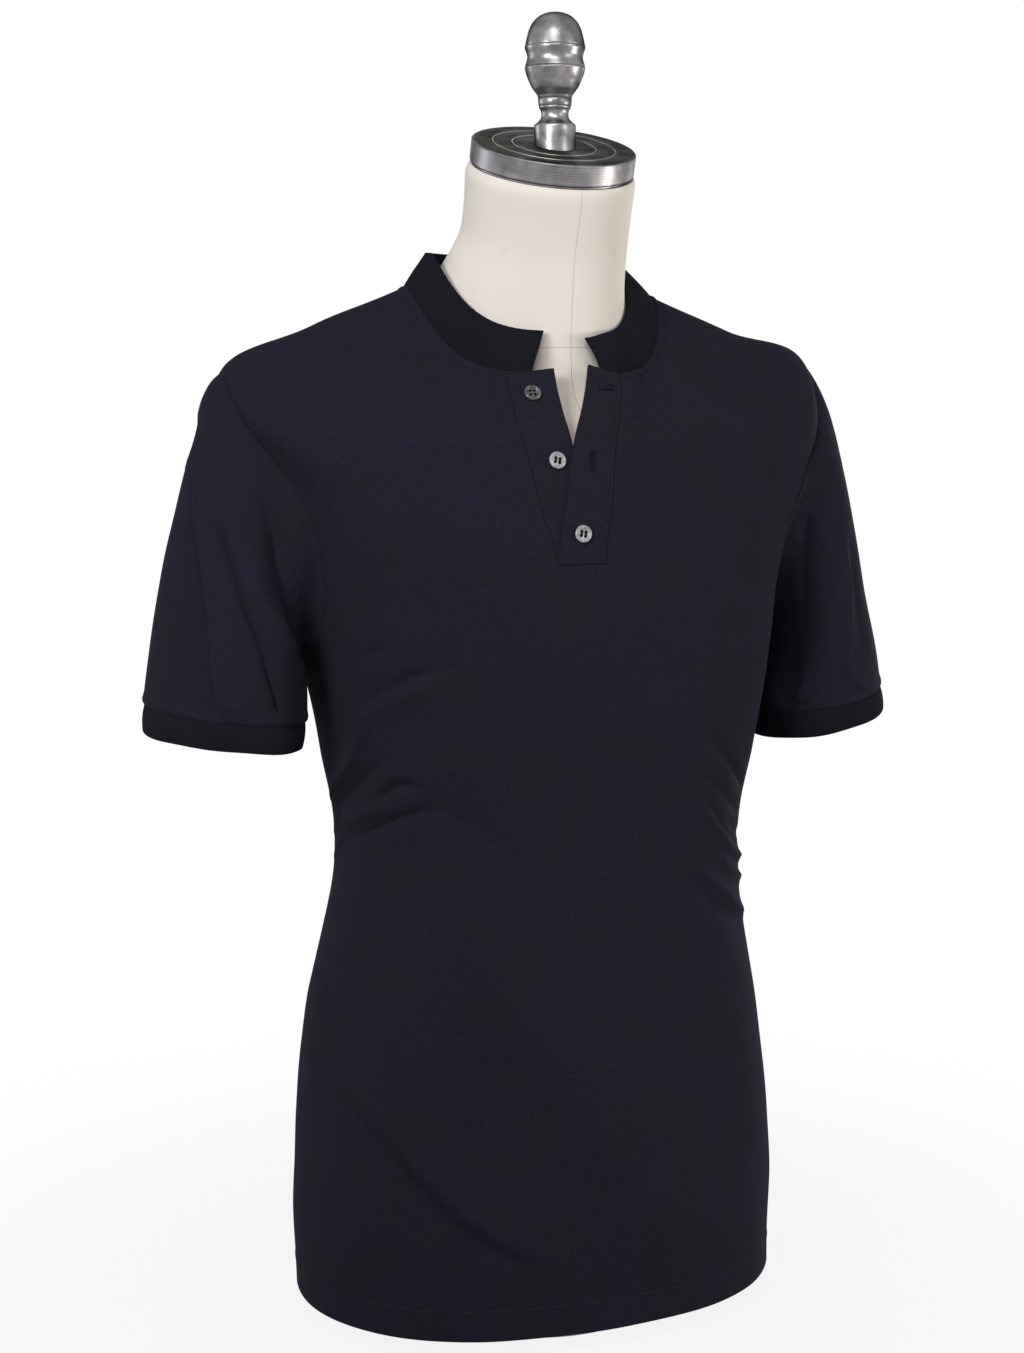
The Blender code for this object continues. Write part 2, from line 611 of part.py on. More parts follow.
def make_materials():
    for name, (colour, roughness, metallic) in MATERIALS.items():
        material = bpy.data.materials.new(name)
        material.use_nodes = True
        shader = material.node_tree.nodes["Principled BSDF"]
        shader.inputs["Base Color"].default_value = (*colour, 1)
        shader.inputs["Roughness"].default_value = roughness
        shader.inputs["Metallic"].default_value = metallic


def main():
    clear_scene()
    make_materials()
    parts, cutters = (bpy.data.collections.new(name) for name in ("polo_on_form", "cutters"))
    for collection in (parts, cutters):
        bpy.context.scene.collection.children.link(collection)
    make_front(parts)
    make_back(parts)
    make_strips(parts)
    make_collar(parts)
    for sleeve in SLEEVES:
        make_sleeve(sleeve, parts)
    make_buttons(parts, cutters)
    make_form(parts)
    make_neck_cap(parts)
    make_finial(parts, cutters)
    make_foot(parts)


main()
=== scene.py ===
"""Polo shirt on a limbless dress form: the looks of every piece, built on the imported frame.

Metres, +Z up. The form faces -Y and +X is the wearer's left. Angles round the body are 0 at the wearer's left
side, 90 degrees at the centre front, 180 at the right side and 270 at the centre back. A sleeve's turns are
0 outside, 90 in front, 180 under the arm and 270 behind; its run is 0 at the armhole and 1 at the cuff.
"""

import math
from collections import namedtuple
from contextlib import contextmanager

import bmesh
import bpy
import numpy as np
from mathutils import Matrix, Vector


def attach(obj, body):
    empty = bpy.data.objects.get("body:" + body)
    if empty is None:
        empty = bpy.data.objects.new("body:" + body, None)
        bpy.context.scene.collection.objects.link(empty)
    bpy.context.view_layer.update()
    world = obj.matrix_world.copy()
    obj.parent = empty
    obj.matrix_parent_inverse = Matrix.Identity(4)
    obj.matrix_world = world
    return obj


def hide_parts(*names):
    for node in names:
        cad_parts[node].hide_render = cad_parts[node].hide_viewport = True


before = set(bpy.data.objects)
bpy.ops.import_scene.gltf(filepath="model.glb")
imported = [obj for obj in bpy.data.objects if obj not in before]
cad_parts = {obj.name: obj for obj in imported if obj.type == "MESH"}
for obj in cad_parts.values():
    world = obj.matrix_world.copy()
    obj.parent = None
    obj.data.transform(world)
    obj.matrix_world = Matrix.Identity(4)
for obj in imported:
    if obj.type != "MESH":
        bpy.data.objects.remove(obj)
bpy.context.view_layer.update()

MM = 0.001

# ---------------------------------------------------------------- sizes shared with the solids

Ring = namedtuple(
    "Ring", "name z_side z_front z_back lean half_width x_side x_front y_side y_front y_back square"
)
HALF_WIDTH, Y_SIDE, Y_FRONT = (Ring._fields.index(size) - 1 for size in ("half_width", "y_side", "y_front"))

# The shirt's body, hem to neckline, on the middle of the cloth. "lean" is how much lower its left side lies.
SHIRT = (
    Ring("hem", 0.016, 0.016, 0.016, 0.000, 0.1715, 0.000, 0.000, 0.002, -0.124, 0.128, 0.040),
    Ring("hip", 0.100, 0.100, 0.100, 0.000, 0.1725, -0.001, 0.000, 0.002, -0.127, 0.129, 0.040),
    Ring("high_hip", 0.210, 0.210, 0.210, 0.000, 0.1615, -0.003, 0.000, 0.000, -0.124, 0.120, 0.040),
    Ring("waist", 0.320, 0.320, 0.320, 0.000, 0.1420, 0.000, 0.000, 0.000, -0.118, 0.109, 0.045),
    Ring("ribs", 0.400, 0.400, 0.400, 0.000, 0.1510, 0.000, 0.000, 0.000, -0.120, 0.111, 0.055),
    Ring("underarm", 0.465, 0.465, 0.465, 0.000, 0.1650, 0.000, -0.004, 0.000, -0.122, 0.114, 0.060),
    Ring("placket_foot", 0.515, 0.540, 0.520, 0.000, 0.1750, -0.002, -0.009, 0.000, -0.120, 0.117, 0.065),
    Ring("chest", 0.590, 0.575, 0.580, 0.000, 0.1910, -0.005, -0.009, 0.000, -0.113, 0.118, 0.060),
    Ring("shoulder_tip", 0.660, 0.613, 0.630, -0.0025, 0.2120, -0.008, -0.008, 0.002, -0.101, 0.106, 0.040),
    Ring("mid_shoulder", 0.686, 0.634, 0.668, 0.003, 0.1520, -0.005, -0.008, 0.005, -0.090, 0.086, 0.020),
    Ring("neckline", 0.711, 0.6572, 0.700, 0.003, 0.0885, -0.002, -0.008, 0.008, -0.075, 0.066, 0.000),
)
UNDERARM, PLACKET_FOOT, SHOULDER_TIP, NECKLINE = 5, 6, 8, 10  # places in this table

COLLAR = (
    Ring("seam", 0.7118, 0.6578, 0.7004, 0.003, 0.0881, -0.002, -0.008, 0.008, -0.0748, 0.0656, 0.000),
    Ring("free_edge", 0.7330, 0.6840, 0.7340, 0.003, 0.0685, -0.0065, -0.005, 0.004, -0.0680, 0.0580, 0.000),
)

FORM = (
    Ring("bottom", 0.068, 0.068, 0.068, 0.000, 0.1500, 0.000, 0.000, 0.000, -0.104, 0.108, 0.040),
    Ring("hip", 0.110, 0.110, 0.110, 0.000, 0.1630, 0.000, 0.000, 0.000, -0.111, 0.114, 0.040),
    Ring("high_hip", 0.210, 0.210, 0.210, 0.000, 0.1530, 0.000, 0.000, 0.000, -0.107, 0.106, 0.040),
    Ring("waist", 0.320, 0.320, 0.320, 0.000, 0.1370, 0.000, 0.000, 0.000, -0.101, 0.096, 0.045),
    Ring("ribs", 0.400, 0.400, 0.400, 0.000, 0.1450, 0.000, 0.000, 0.000, -0.106, 0.102, 0.050),
    Ring("underarm", 0.470, 0.465, 0.465, 0.000, 0.1580, 0.000, 0.000, 0.000, -0.113, 0.108, 0.055),
    Ring("low_chest", 0.520, 0.528, 0.520, 0.000, 0.1670, 0.000, 0.000, 0.000, -0.113, 0.111, 0.055),
    Ring("chest", 0.590, 0.572, 0.580, 0.000, 0.1800, 0.000, 0.000, 0.000, -0.107, 0.112, 0.050),
    Ring("shoulder_tip", 0.646, 0.607, 0.626, 0.000, 0.1930, 0.000, 0.000, 0.002, -0.096, 0.101, 0.040),
    Ring("mid_shoulder", 0.6852, 0.629, 0.664, 0.003, 0.1460, 0.000, 0.000, 0.005, -0.085, 0.081, 0.020),
    Ring("neck_base", 0.7060, 0.648, 0.692, 0.002, 0.0820, 0.000, 0.000, 0.007, -0.067, 0.059, 0.000),
    Ring("low_neck", 0.722, 0.682, 0.720, 0.000, 0.0650, -0.006, -0.003, 0.002, -0.0630, 0.0545, 0.000),
)

ARMHOLE = math.radians(27)  # how far round from the side the armholes open

# Both sleeves are given on the left; the right one is mirrored.
Sleeve = namedtuple("Sleeve", "name side end axis half_out half_deep")
LEFT_SLEEVE = Sleeve("left", 1, (0.2120, -0.004, 0.4230), (0.20, 0, -1), 0.0490, 0.0580)
RIGHT_SLEEVE = Sleeve("right", -1, (0.2230, -0.002, 0.4345), (0.115, 0, -1), 0.0520, 0.0640)
CUFF_HEIGHT = 17 * MM

# Edges on the front: distances from the centre line towards the wearer's left, at the placket's foot and at
# the neckline, and how much more it is halfway.
Edge = namedtuple("Edge", "foot top bend")
SLIT_RIGHT = Edge(-0.0225, -0.0420, -0.006)
SLIT_LEFT = Edge(0.0070, 0.0355, -0.001)
BUTTON_STRIP_FREE = Edge(0.0060, -0.0092, -0.0045)
HOLE_STRIP_FREE = Edge(-0.0225, 0.0145, -0.002)
HOLE_STRIP_SEWN = Edge(0.0100, 0.0400, -0.001)
BAND_LEFT_END = Edge(0.0270, 0.0135, 0.000)
BAND_RIGHT_END = Edge(-0.0242, -0.0160, 0.000)

NECK_TILT = math.radians(17)
NECK_TOP = Vector((0.0, -0.028, 0.7906))
NECK_NORMAL = Vector((0, -math.sin(NECK_TILT), math.cos(NECK_TILT)))
NECK_TOP_RADIUS = 0.0560
CAP_RADIUS = 0.0550
CAP_THICK = 0.0165
CAP_SHIFT = Vector((-0.0005, 0, 0))  # the cap sits a little off the neck's middle
FINIAL_SHIFT = Vector((0.0006, 0, 0))
COLUMN_RADIUS = 0.021
TORSO_BOTTOM = 0.068
FOOT_RADIUS = 0.092
FOOT_THICK = 0.009
CLEAR = 0.3 * MM

# ---------------------------------------------------------------- sizes of the finished cloth

KNIT = 1.1 * MM  # thickness of the pique knit
SEAM = 0.05 * MM  # between two edges sewn together
RIDGE_SEAM = 0.5 * MM  # between front and back along the shoulders, where the two walls meet at an angle
HEM_DEPTH = 22 * MM
HEM_PLY = 1.35 * MM  # from the middle of the outer ply to the middle of the turned-up one
NECK_SEAM_WIDTH = 5.0 * MM
STRIP_THICK = 1.3 * MM
STRIP_LIFT = 1.65 * MM  # of the buttonhole strip over the front
STRIP_SINK = 0.75 * MM  # how far it is pressed down where it is sewn
RIB_WALL = 1.9 * MM
RIB_PITCH = 1.9 * MM
THREAD = 0.17 * MM  # radius of the sewing thread
BUTTON_RADIUS = 5.7 * MM
BUTTON_THICK = 2.6 * MM

# Creases lie along paths on the cloth. A height is in mm, and a trough has a negative one. Seen from outside
# and looking along the path, the left and right flanks fall away over these widths, in mm. A crease fades in
# and out over these shares of its length.
Crease = namedtuple("Crease", "name height left right fade_in fade_out path")

BODY_CREASES = (  # a path's places are an angle in degrees and a height above the floor
    # the long drape over the wearer's right hip
    Crease("hip_fold", 5.4, 20, 3.2, 0.30, 0.35, ((176, 0.209), (157, 0.187), (142, 0.158), (128, 0.120),
           (114, 0.086), (98, 0.066))),
    Crease("hip_fold_foot", -2.6, 4, 9, 0.2, 0.4, ((160, 0.182), (142, 0.150), (128, 0.112), (114, 0.079),
           (100, 0.062))),
    Crease("side_nip", -6.0, 8, 4.2, 0.5, 0.6, ((204, 0.235), (192, 0.240), (181, 0.240), (173, 0.235),
           (164, 0.226), (154, 0.213), (145, 0.197))),
    Crease("side_nip_lip", 2.4, 4, 6, 0.5, 0.5, ((200, 0.228), (188, 0.231), (177, 0.227), (167, 0.217),
           (157, 0.205))),
    Crease("belly_fall", 6.5, 62, 42, 0.25, 0.2, ((145, 0.352), (136, 0.328), (127, 0.291), (113, 0.247),
           (101, 0.202), (91, 0.160), (83, 0.115), (74, 0.068), (67, 0.030))),
    # tucks above the waist on the wearer's right
    Crease("tuck_low", -5.0, 3.6, 2.6, 0.4, 0.3, ((188, 0.330), (169, 0.347), (159, 0.355), (151, 0.362),
           (144, 0.369), (139, 0.373), (136, 0.379), (133, 0.385))),
    Crease("tuck_low_lip", 3.0, 6, 3.4, 0.2, 0.4, ((180, 0.350), (164, 0.363), (152, 0.372), (144, 0.380))),
    Crease("tuck_fork", -2.6, 2, 2, 0.4, 0.5, ((140, 0.366), (136, 0.373), (133, 0.377), (129, 0.373))),
    Crease("tuck_high", -4.0, 3, 3, 0.3, 0.4, ((156, 0.371), (152, 0.379), (148, 0.385), (143, 0.391),
           (139, 0.391), (134, 0.386))),
    Crease("tuck_high_lip", 1.8, 4, 3.4, 0.4, 0.5, ((152, 0.391), (146, 0.397), (140, 0.399),
           (134, 0.395))),
    Crease("tuck_trail", -2.2, 8, 6, 0.3, 0.5, ((134, 0.376), (127, 0.370), (121, 0.360), (116, 0.347),
           (109, 0.328))),
    Crease("side_ridge", 5.2, 8, 3.4, 0.28, 0.4, ((193, 0.362), (185, 0.369), (170, 0.386), (161, 0.401),
           (154, 0.419), (150, 0.433), (146, 0.446), (139, 0.455), (130, 0.463))),
    Crease("side_valley", -3.8, 3, 6, 0.3, 0.4, ((184, 0.363), (166, 0.380), (157, 0.392), (151, 0.403),
           (147, 0.416))),
    Crease("side_ridge_mid", 1.7, 4, 3, 0.4, 0.4, ((199, 0.336), (190, 0.345), (182, 0.356), (175, 0.366))),
    Crease("side_ridge_low", 1.7, 4, 3, 0.4, 0.4, ((199, 0.318), (191, 0.327), (184, 0.336), (176, 0.346))),
    Crease("chest_valley", -4.4, 5, 2.8, 0.2, 0.4, ((154, 0.436), (145, 0.449), (140, 0.456), (134, 0.463),
           (128, 0.469), (122, 0.473))),
    Crease("chest_lip", 2.4, 3, 6, 0.3, 0.4, ((150, 0.434), (142, 0.445), (136, 0.453), (130, 0.460),
           (123, 0.465))),
    Crease("armpit_dimple", -3.0, 4, 3.4, 0.4, 0.5, ((149, 0.470), (144, 0.478), (140, 0.484),
           (136, 0.494))),
    Crease("armpit_ridge", 1.8, 6, 6, 0.4, 0.4, ((170, 0.400), (163, 0.425), (158, 0.455), (156, 0.490))),
    # tucks on the wearer's left
    Crease("left_tuck_top", -4.0, 4, 4, 0.4, 0.1, ((62, 0.424), (58, 0.415), (54, 0.407), (48, 0.395),
           (41, 0.383), (30, 0.371))),
    Crease("left_tuck_high", -2.6, 3, 4, 0.4, 0.1, ((66, 0.399), (61, 0.393), (58, 0.387), (51, 0.377),
           (44, 0.366), (32, 0.354))),
    Crease("left_ridge", 3.4, 3.4, 4, 0.3, 0.1, ((68, 0.385), (63, 0.376), (56, 0.360), (47, 0.344),
           (41, 0.333), (28, 0.321), (18, 0.316))),
    Crease("left_tuck_mid", -2.4, 3, 3, 0.4, 0.1, ((60, 0.377), (56, 0.369), (50, 0.355), (42, 0.342),
           (27, 0.328))),
    Crease("left_tuck_edge", -1.8, 3, 3, 0.4, 0.1, ((47, 0.357), (40, 0.347), (30, 0.338), (20, 0.333))),
    Crease("left_lip", 2.8, 3, 4, 0.4, 0.1, ((52, 0.333), (46, 0.325), (40, 0.317), (28, 0.306),
           (18, 0.301))),
    Crease("left_ridge_low", 2.6, 5, 5, 0.4, 0.1, ((68, 0.343), (62, 0.330), (55, 0.318), (47, 0.304),
           (36, 0.288), (24, 0.278))),
    Crease("left_tuck_low", -2.8, 4, 6, 0.4, 0.2, ((66, 0.330), (61, 0.320), (56, 0.306), (50, 0.295),
           (41, 0.285), (28, 0.276))),
    Crease("belly_drape", -1.3, 9, 12, 0.4, 0.4, ((88, 0.405), (80, 0.397), (72, 0.382), (64, 0.357),
           (56, 0.333))),
    # fine drapes that run from the neckline towards the shoulders and beside the placket
    Crease("neck_drape_a", 1.3, 2.2, 2.2, 0.1, 0.6, ((8, 0.702), (12, 0.691), (19, 0.678), (28, 0.662))),
    Crease("neck_drape_b", 1.6, 2.4, 2.4, 0.1, 0.5, ((15, 0.692), (20, 0.680), (27, 0.666), (35, 0.648))),
    Crease("neck_drape_c", 1.4, 2.6, 2.6, 0.1, 0.6, ((25, 0.681), (34, 0.668), (46, 0.652), (54, 0.628),
           (57, 0.600))),
    Crease("placket_gather", -3.0, 2.6, 3, 0.2, 0.3, ((42, 0.668), (58, 0.650), (70, 0.637), (78, 0.622),
           (82, 0.604))),
    Crease("placket_gather_lip", 1.4, 3, 3, 0.3, 0.5, ((40, 0.662), (54, 0.644), (66, 0.630), (75, 0.612),
           (79, 0.594))),
    Crease("strip_gather", -2.6, 2.6, 4, 0.2, 0.5, ((122, 0.661), (116, 0.651), (110, 0.639), (105, 0.626),
           (102, 0.610))),
    Crease("right_neck_drape", -1.0, 2, 2.4, 0.2, 0.6, ((171, 0.704), (167, 0.694), (162, 0.684),
           (156, 0.672))),
    Crease("right_neck_drape_b", -0.7, 2, 2, 0.3, 0.6, ((178, 0.710), (174, 0.702), (169, 0.692))),
    # a hollow and a ridge where the front meets the sleeves
    Crease("right_armhole_hollow", -1.4, 9, 12, 0.3, 0.3, ((161, 0.632), (154, 0.604), (149, 0.566),
           (150, 0.528))),
    Crease("left_chest_edge", 4.5, 12, 14, 0.3, 0.4, ((16, 0.640), (22, 0.618), (26, 0.592), (25, 0.566),
           (25, 0.545), (26, 0.510))),
    # the back
    Crease("back_roll", 3.0, 10, 6, 0.3, 0.3, ((216, 0.382), (238, 0.371), (262, 0.366), (288, 0.369),
           (312, 0.380))),
    Crease("back_roll_foot", -3.0, 5, 9, 0.25, 0.3, ((208, 0.352), (236, 0.351), (266, 0.346), (298, 0.350),
           (326, 0.361))),
    Crease("back_roll_low", 2.2, 8, 5, 0.4, 0.3, ((236, 0.333), (258, 0.325), (282, 0.326), (304, 0.335))),
    Crease("back_tuck_low", -2.0, 5, 9, 0.3, 0.4, ((228, 0.316), (250, 0.307), (278, 0.304), (299, 0.312))),
    Crease("back_tuck_side", -1.6, 5, 7, 0.2, 0.6, ((204, 0.300), (216, 0.312), (231, 0.330))),
    Crease("back_tuck_left", -1.8, 6, 5, 0.2, 0.6, ((342, 0.322), (330, 0.331), (314, 0.345))),
    Crease("blade_drape", 2.2, 9, 12, 0.3, 0.5, ((226, 0.585), (233, 0.530), (243, 0.470), (256, 0.415))),
    Crease("blade_drape_left", 1.8, 12, 9, 0.3, 0.6, ((314, 0.590), (308, 0.530), (299, 0.468))),
    Crease("back_hip_drape", -2.4, 5, 12, 0.2, 0.5, ((344, 0.250), (328, 0.212), (311, 0.165), (296, 0.122),
           (284, 0.098))),
    Crease("back_hip_bulge", 2.0, 10, 8, 0.4, 0.5, ((214, 0.200), (223, 0.155), (236, 0.115))),
    Crease("back_neck_drape", 0.7, 3, 4, 0.2, 0.6, ((250, 0.690), (246, 0.672), (240, 0.652))),
)

RIGHT_SLEEVE_CREASES = (  # a path's places are a turn in degrees and a share of the run
    Crease("outer_valley", -9.0, 2.8, 20, 0.25, 0.0, ((-6, 0.12), (-2, 0.26), (4, 0.34), (11, 0.425),
           (28, 0.54), (44, 0.68), (56, 0.835), (62, 0.93), (65, 1.0))),
    Crease("outer_edge", 4.0, 14, 3.0, 0.3, 0.0, ((1, 0.14), (5, 0.26), (11, 0.34), (18, 0.425), (35, 0.54),
           (51, 0.68), (63, 0.835), (69, 0.93), (72, 1.0))),
    Crease("front_lip", 1.5, 3, 4, 0.4, 0.5, ((27, 0.33), (30, 0.41), (35, 0.49), (42, 0.56))),
    Crease("front_crease", -5.0, 2.4, 2.2, 0.15, 0.1, ((31, 0.375), (52, 0.485), (70, 0.585), (90, 0.705),
           (106, 0.86), (113, 0.96))),
    Crease("front_crease_lip", 1.3, 3, 3, 0.4, 0.3, ((42, 0.41), (53, 0.465), (68, 0.50))),
    Crease("under_edge", 4.6, 3.6, 12, 0.25, 0.1, ((66, 0.47), (76, 0.505), (94, 0.555), (113, 0.605),
           (133, 0.66), (150, 0.74))),
    Crease("under_valley", -14.0, 16, 9, 0.35, 0.2, ((47, 0.16), (66, 0.25), (87, 0.35), (109, 0.44),
           (128, 0.52), (142, 0.64), (150, 0.84))),
    Crease("head_pucker", -2.2, 2.6, 2.6, 0.3, 0.0, ((2, 0.19), (4, 0.13), (6, 0.06), (8, 0.00))),
    Crease("head_pucker_b", -0.9, 2.4, 2.6, 0.4, 0.0, ((-22, 0.16), (-12, 0.08), (-4, 0.01))),
    Crease("back_ridge", 3.0, 10, 7, 0.3, 0.0, ((326, 0.10), (314, 0.35), (302, 0.62), (296, 1.0))),
    Crease("back_crease", -2.8, 8, 5, 0.3, 0.2, ((296, 0.24), (284, 0.45), (268, 0.68), (256, 0.94))),
    Crease("back_ridge_low", 2.2, 7, 8, 0.4, 0.1, ((262, 0.40), (246, 0.62), (236, 0.95))),
)

LEFT_SLEEVE_CREASES = (
    Crease("outer_edge", 3.6, 4, 6, 0.3, 0.0, ((40, 0.40), (52, 0.46), (63, 0.54), (72, 0.63), (80, 0.755),
           (84, 0.855), (74, 0.94), (56, 1.0))),
    Crease("outer_valley", -1.8, 5, 4, 0.4, 0.3, ((40, 0.48), (54, 0.60), (62, 0.74), (62, 0.90))),
    Crease("front_edge", 5.0, 14, 4, 0.2, 0.1, ((64, 0.50), (84, 0.57), (106, 0.69), (123, 0.82),
           (131, 0.97))),
    Crease("front_crease", -3.0, 3, 10, 0.3, 0.1, ((92, 0.62), (114, 0.72), (131, 0.84), (140, 0.97))),
    Crease("front_hollow", -16.0, 18, 42, 0.3, 0.15, ((40, 0.14), (68, 0.24), (96, 0.33), (113, 0.42),
           (126, 0.54), (140, 0.72), (150, 0.92))),
    Crease("armhole_lip", 0.9, 3, 3, 0.2, 0.2, ((20, 0.05), (53, 0.05), (99, 0.05), (140, 0.03))),
    Crease("back_ridge", 2.8, 8, 10, 0.3, 0.0, ((330, 0.16), (318, 0.40), (306, 0.68), (300, 1.0))),
    Crease("back_crease", -2.6, 7, 5, 0.3, 0.2, ((304, 0.22), (290, 0.46), (272, 0.70), (262, 0.94))),
    Crease("head_pucker", -0.8, 2.6, 2.6, 0.4, 0.0, ((-16, 0.22), (-6, 0.10), (0, 0.01))),
)


# ---------------------------------------------------------------- what every section uses


def put(name, data):
    """A new object in the scene."""
    item = bpy.data.objects.new(name, data)
    bpy.context.scene.collection.objects.link(item)
    return item


def new_piece(name, mesh, material):
    mesh.materials.append(material)
    return put(name, mesh)


@contextmanager
def editing(mesh):
    """The mesh opened for editing, and written back at the end."""
    bm = bmesh.new()
    bm.from_mesh(mesh)
    yield bm
    bm.to_mesh(mesh)
    bm.free()


def unit(vectors):
    return vectors / np.linalg.norm(vectors, axis=-1, keepdims=True)


def bell(distance, width):
    """1 at no distance, falling away to 0 over this width on both sides."""
    return np.exp(-((distance / width) ** 2))


def smooth_step(share):
    share = np.clip(share, 0, 1)
    return share * share * (3 - 2 * share)


def cubic(t, start, leave, end, arrive):
    """The curve from start to end that leaves and arrives with these slopes."""
    return (
        (2 * t**3 - 3 * t**2 + 1) * start
        + (t**3 - 2 * t**2 + t) * leave
        + (3 * t**2 - 2 * t**3) * end
        + (t**3 - t**2) * arrive
    )


def smooth_path(points, cells=12):
    """A smooth curve through the points, with this many cells between two of them."""
    points = np.array(points, float)
    padded = np.vstack((2 * points[0] - points[1], points, 2 * points[-1] - points[-2]))
    t = np.linspace(0, 1, cells, endpoint=False)[:, None]
    pieces = [
        0.5 * (2 * b + (c - a) * t + (2 * a - 5 * b + 4 * c - d) * t**2 + (3 * b - a - 3 * c + d) * t**3)
        for a, b, c, d in zip(padded, padded[1:], padded[2:], padded[3:])
    ]
    return np.vstack(pieces + [points[-1:]])


def round_angles(count):
    """Angles evenly all the way round."""
    return np.arange(count) * math.tau / count


# ---------------------------------------------------------------- camera, light and floor

CAMERA_AZIMUTH = math.radians(21)  # towards the wearer's right of straight ahead
CAMERA_DISTANCE = 1.70
CAMERA_HEIGHT = 0.70
CAMERA_PITCH = math.radians(8.5)
CAMERA_AIM = -0.0165  # sideways
FOCAL_LENGTH = 65.587583  # in mm, as is the sensor's size
SENSOR = 36.0


def make_camera():
    right = Vector((math.cos(CAMERA_AZIMUTH), -math.sin(CAMERA_AZIMUTH), 0))
    level = Vector((math.sin(CAMERA_AZIMUTH), math.cos(CAMERA_AZIMUTH), 0))
    ahead = level * math.cos(CAMERA_PITCH) - Vector((0, 0, math.sin(CAMERA_PITCH)))
    data = bpy.data.cameras.new("camera")
    data.sensor_width = SENSOR
    data.lens = FOCAL_LENGTH
    camera = put("camera", data)
    camera.location = right * CAMERA_AIM - level * CAMERA_DISTANCE + Vector((0, 0, CAMERA_HEIGHT))
    camera.rotation_euler = ahead.to_track_quat("-Z", "Y").to_euler()
    bpy.context.scene.camera = camera


Lamp = namedtuple("Lamp", "name place aim width height power colour")
LAMPS = (
    Lamp("key", (-1.20, -0.90, 1.15), (0, 0, 0.55), 0.5, 0.5, 14.5, (1.00, 1.00, 1.00)),
    Lamp("key_high", (-0.45, -1.05, 1.50), (0, 0, 0.60), 0.6, 0.5, 8, (1.00, 1.00, 1.00)),
    Lamp("fill", (0.80, -1.20, 1.00), (0, 0, 0.45), 0.6, 0.6, 3.5, (1.00, 0.98, 0.95)),
    Lamp("low_fill", (1.7, -0.8, 0.30), (0.1, 0, 0.20), 0.5, 0.5, 14.5, (1.00, 0.96, 0.90)),
    Lamp("left_rim", (-1.5, 1.3, 0.9), (0, 0, 0.50), 0.5, 1.0, 7, (0.93, 0.94, 1.00)),
    Lamp("right_rim", (1.7, 1.1, 0.6), (0, 0, 0.40), 0.5, 0.8, 14, (1.00, 1.00, 1.00)),
    Lamp("back", (0.2, 2.2, 1.5), (0, 0, 0.5), 1.4, 1.4, 10, (1.00, 1.00, 1.00)),
)


def make_lamps():
    for lamp in LAMPS:
        data = bpy.data.lights.new(lamp.name, "AREA")
        data.shape = "RECTANGLE"
        data.size, data.size_y = lamp.width, lamp.height
        data.energy = lamp.power
        data.color = lamp.colour
        light = put(lamp.name, data)
        light.location = lamp.place
        light.rotation_euler = (Vector(lamp.aim) - Vector(lamp.place)).to_track_quat("-Z", "Y").to_euler()


def add(tree, kind, inputs=None, **settings):
    """A node of this kind; an input is a value or another node's output socket."""
    node = tree.nodes.new(kind)
    for name, value in settings.items():
        setattr(node, name, value)
    for name, value in (inputs or {}).items():
        if isinstance(value, bpy.types.NodeSocket):
            tree.links.new(value, node.inputs[name])
        else:
            node.inputs[name].default_value = value
    return node


def maths(tree, operation, *values):
    """The result of one operation on values or on other nodes' outputs."""
    return add(tree, "ShaderNodeMath", dict(enumerate(values)), operation=operation).outputs[0]


def length(tree, vector):
    return add(tree, "ShaderNodeVectorMath", {0: vector}, operation="LENGTH").outputs["Value"]


def ranged(tree, value, start, end, low=0.0, high=1.0, **settings):
    """The value mapped from start..end to low..high."""
    inputs = {"Value": value, "From Min": start, "From Max": end, "To Min": low, "To Max": high}
    return add(tree, "ShaderNodeMapRange", inputs, **settings).outputs[0]


def piece_place(tree):
    """Coordinates on the piece itself, in metres."""
    return add(tree, "ShaderNodeTexCoord").outputs["Object"]


def seen_directly(tree):
    """1 for what the camera sees, straight, mirrored or through glass, and 0 for the light that it gives."""
    path = add(tree, "ShaderNodeLightPath").outputs
    mirrored = maths(tree, "MAXIMUM", path["Is Camera Ray"], path["Is Glossy Ray"])
    return maths(tree, "MAXIMUM", mirrored, path["Is Transmission Ray"])


AMBIENT = 0.055  # strength of the light from all round


def make_world():
    world = bpy.data.worlds.new("studio")
    bpy.context.scene.world = world
    world.use_nodes = True
    tree = world.node_tree
    background = tree.nodes["Background"]
    background.inputs["Color"].default_value = (1, 1, 1, 1)
    tree.links.new(ranged(tree, seen_directly(tree), 0.0, 1.0, AMBIENT, 1.0), background.inputs["Strength"])


FLOOR_REACH = 12  # from its middle to its edges
FLOOR_SHADE = 0.88  # how white the floor looks under the form
FLOOR_SHADED, FLOOR_CLEAR = 0.20, 0.75  # distances from the middle between which it grows fully white


def make_floor():
    mesh = bpy.data.meshes.new("floor")
    with editing(mesh) as bm:
        bmesh.ops.create_grid(bm, x_segments=1, y_segments=1, size=FLOOR_REACH)
    floor = put("floor", mesh)
    material, tree, shader = new_material("pale_floor", 0.9, Base_Color=(0.40, 0.40, 0.40, 1))
    away = length(tree, piece_place(tree))
    whiteness = ranged(tree, away, FLOOR_SHADED, FLOOR_CLEAR, FLOOR_SHADE, interpolation_type="SMOOTHSTEP")
    share = maths(tree, "MULTIPLY", seen_directly(tree), whiteness)
    white = add(tree, "ShaderNodeEmission", {"Color": (1, 1, 1, 1)})
    mix = add(tree, "ShaderNodeMixShader", {0: share, 1: shader.outputs[0], 2: white.outputs[0]})
    tree.links.new(mix.outputs[0], tree.nodes["Material Output"].inputs["Surface"])
    mesh.materials.append(material)


# ---------------------------------------------------------------- materials


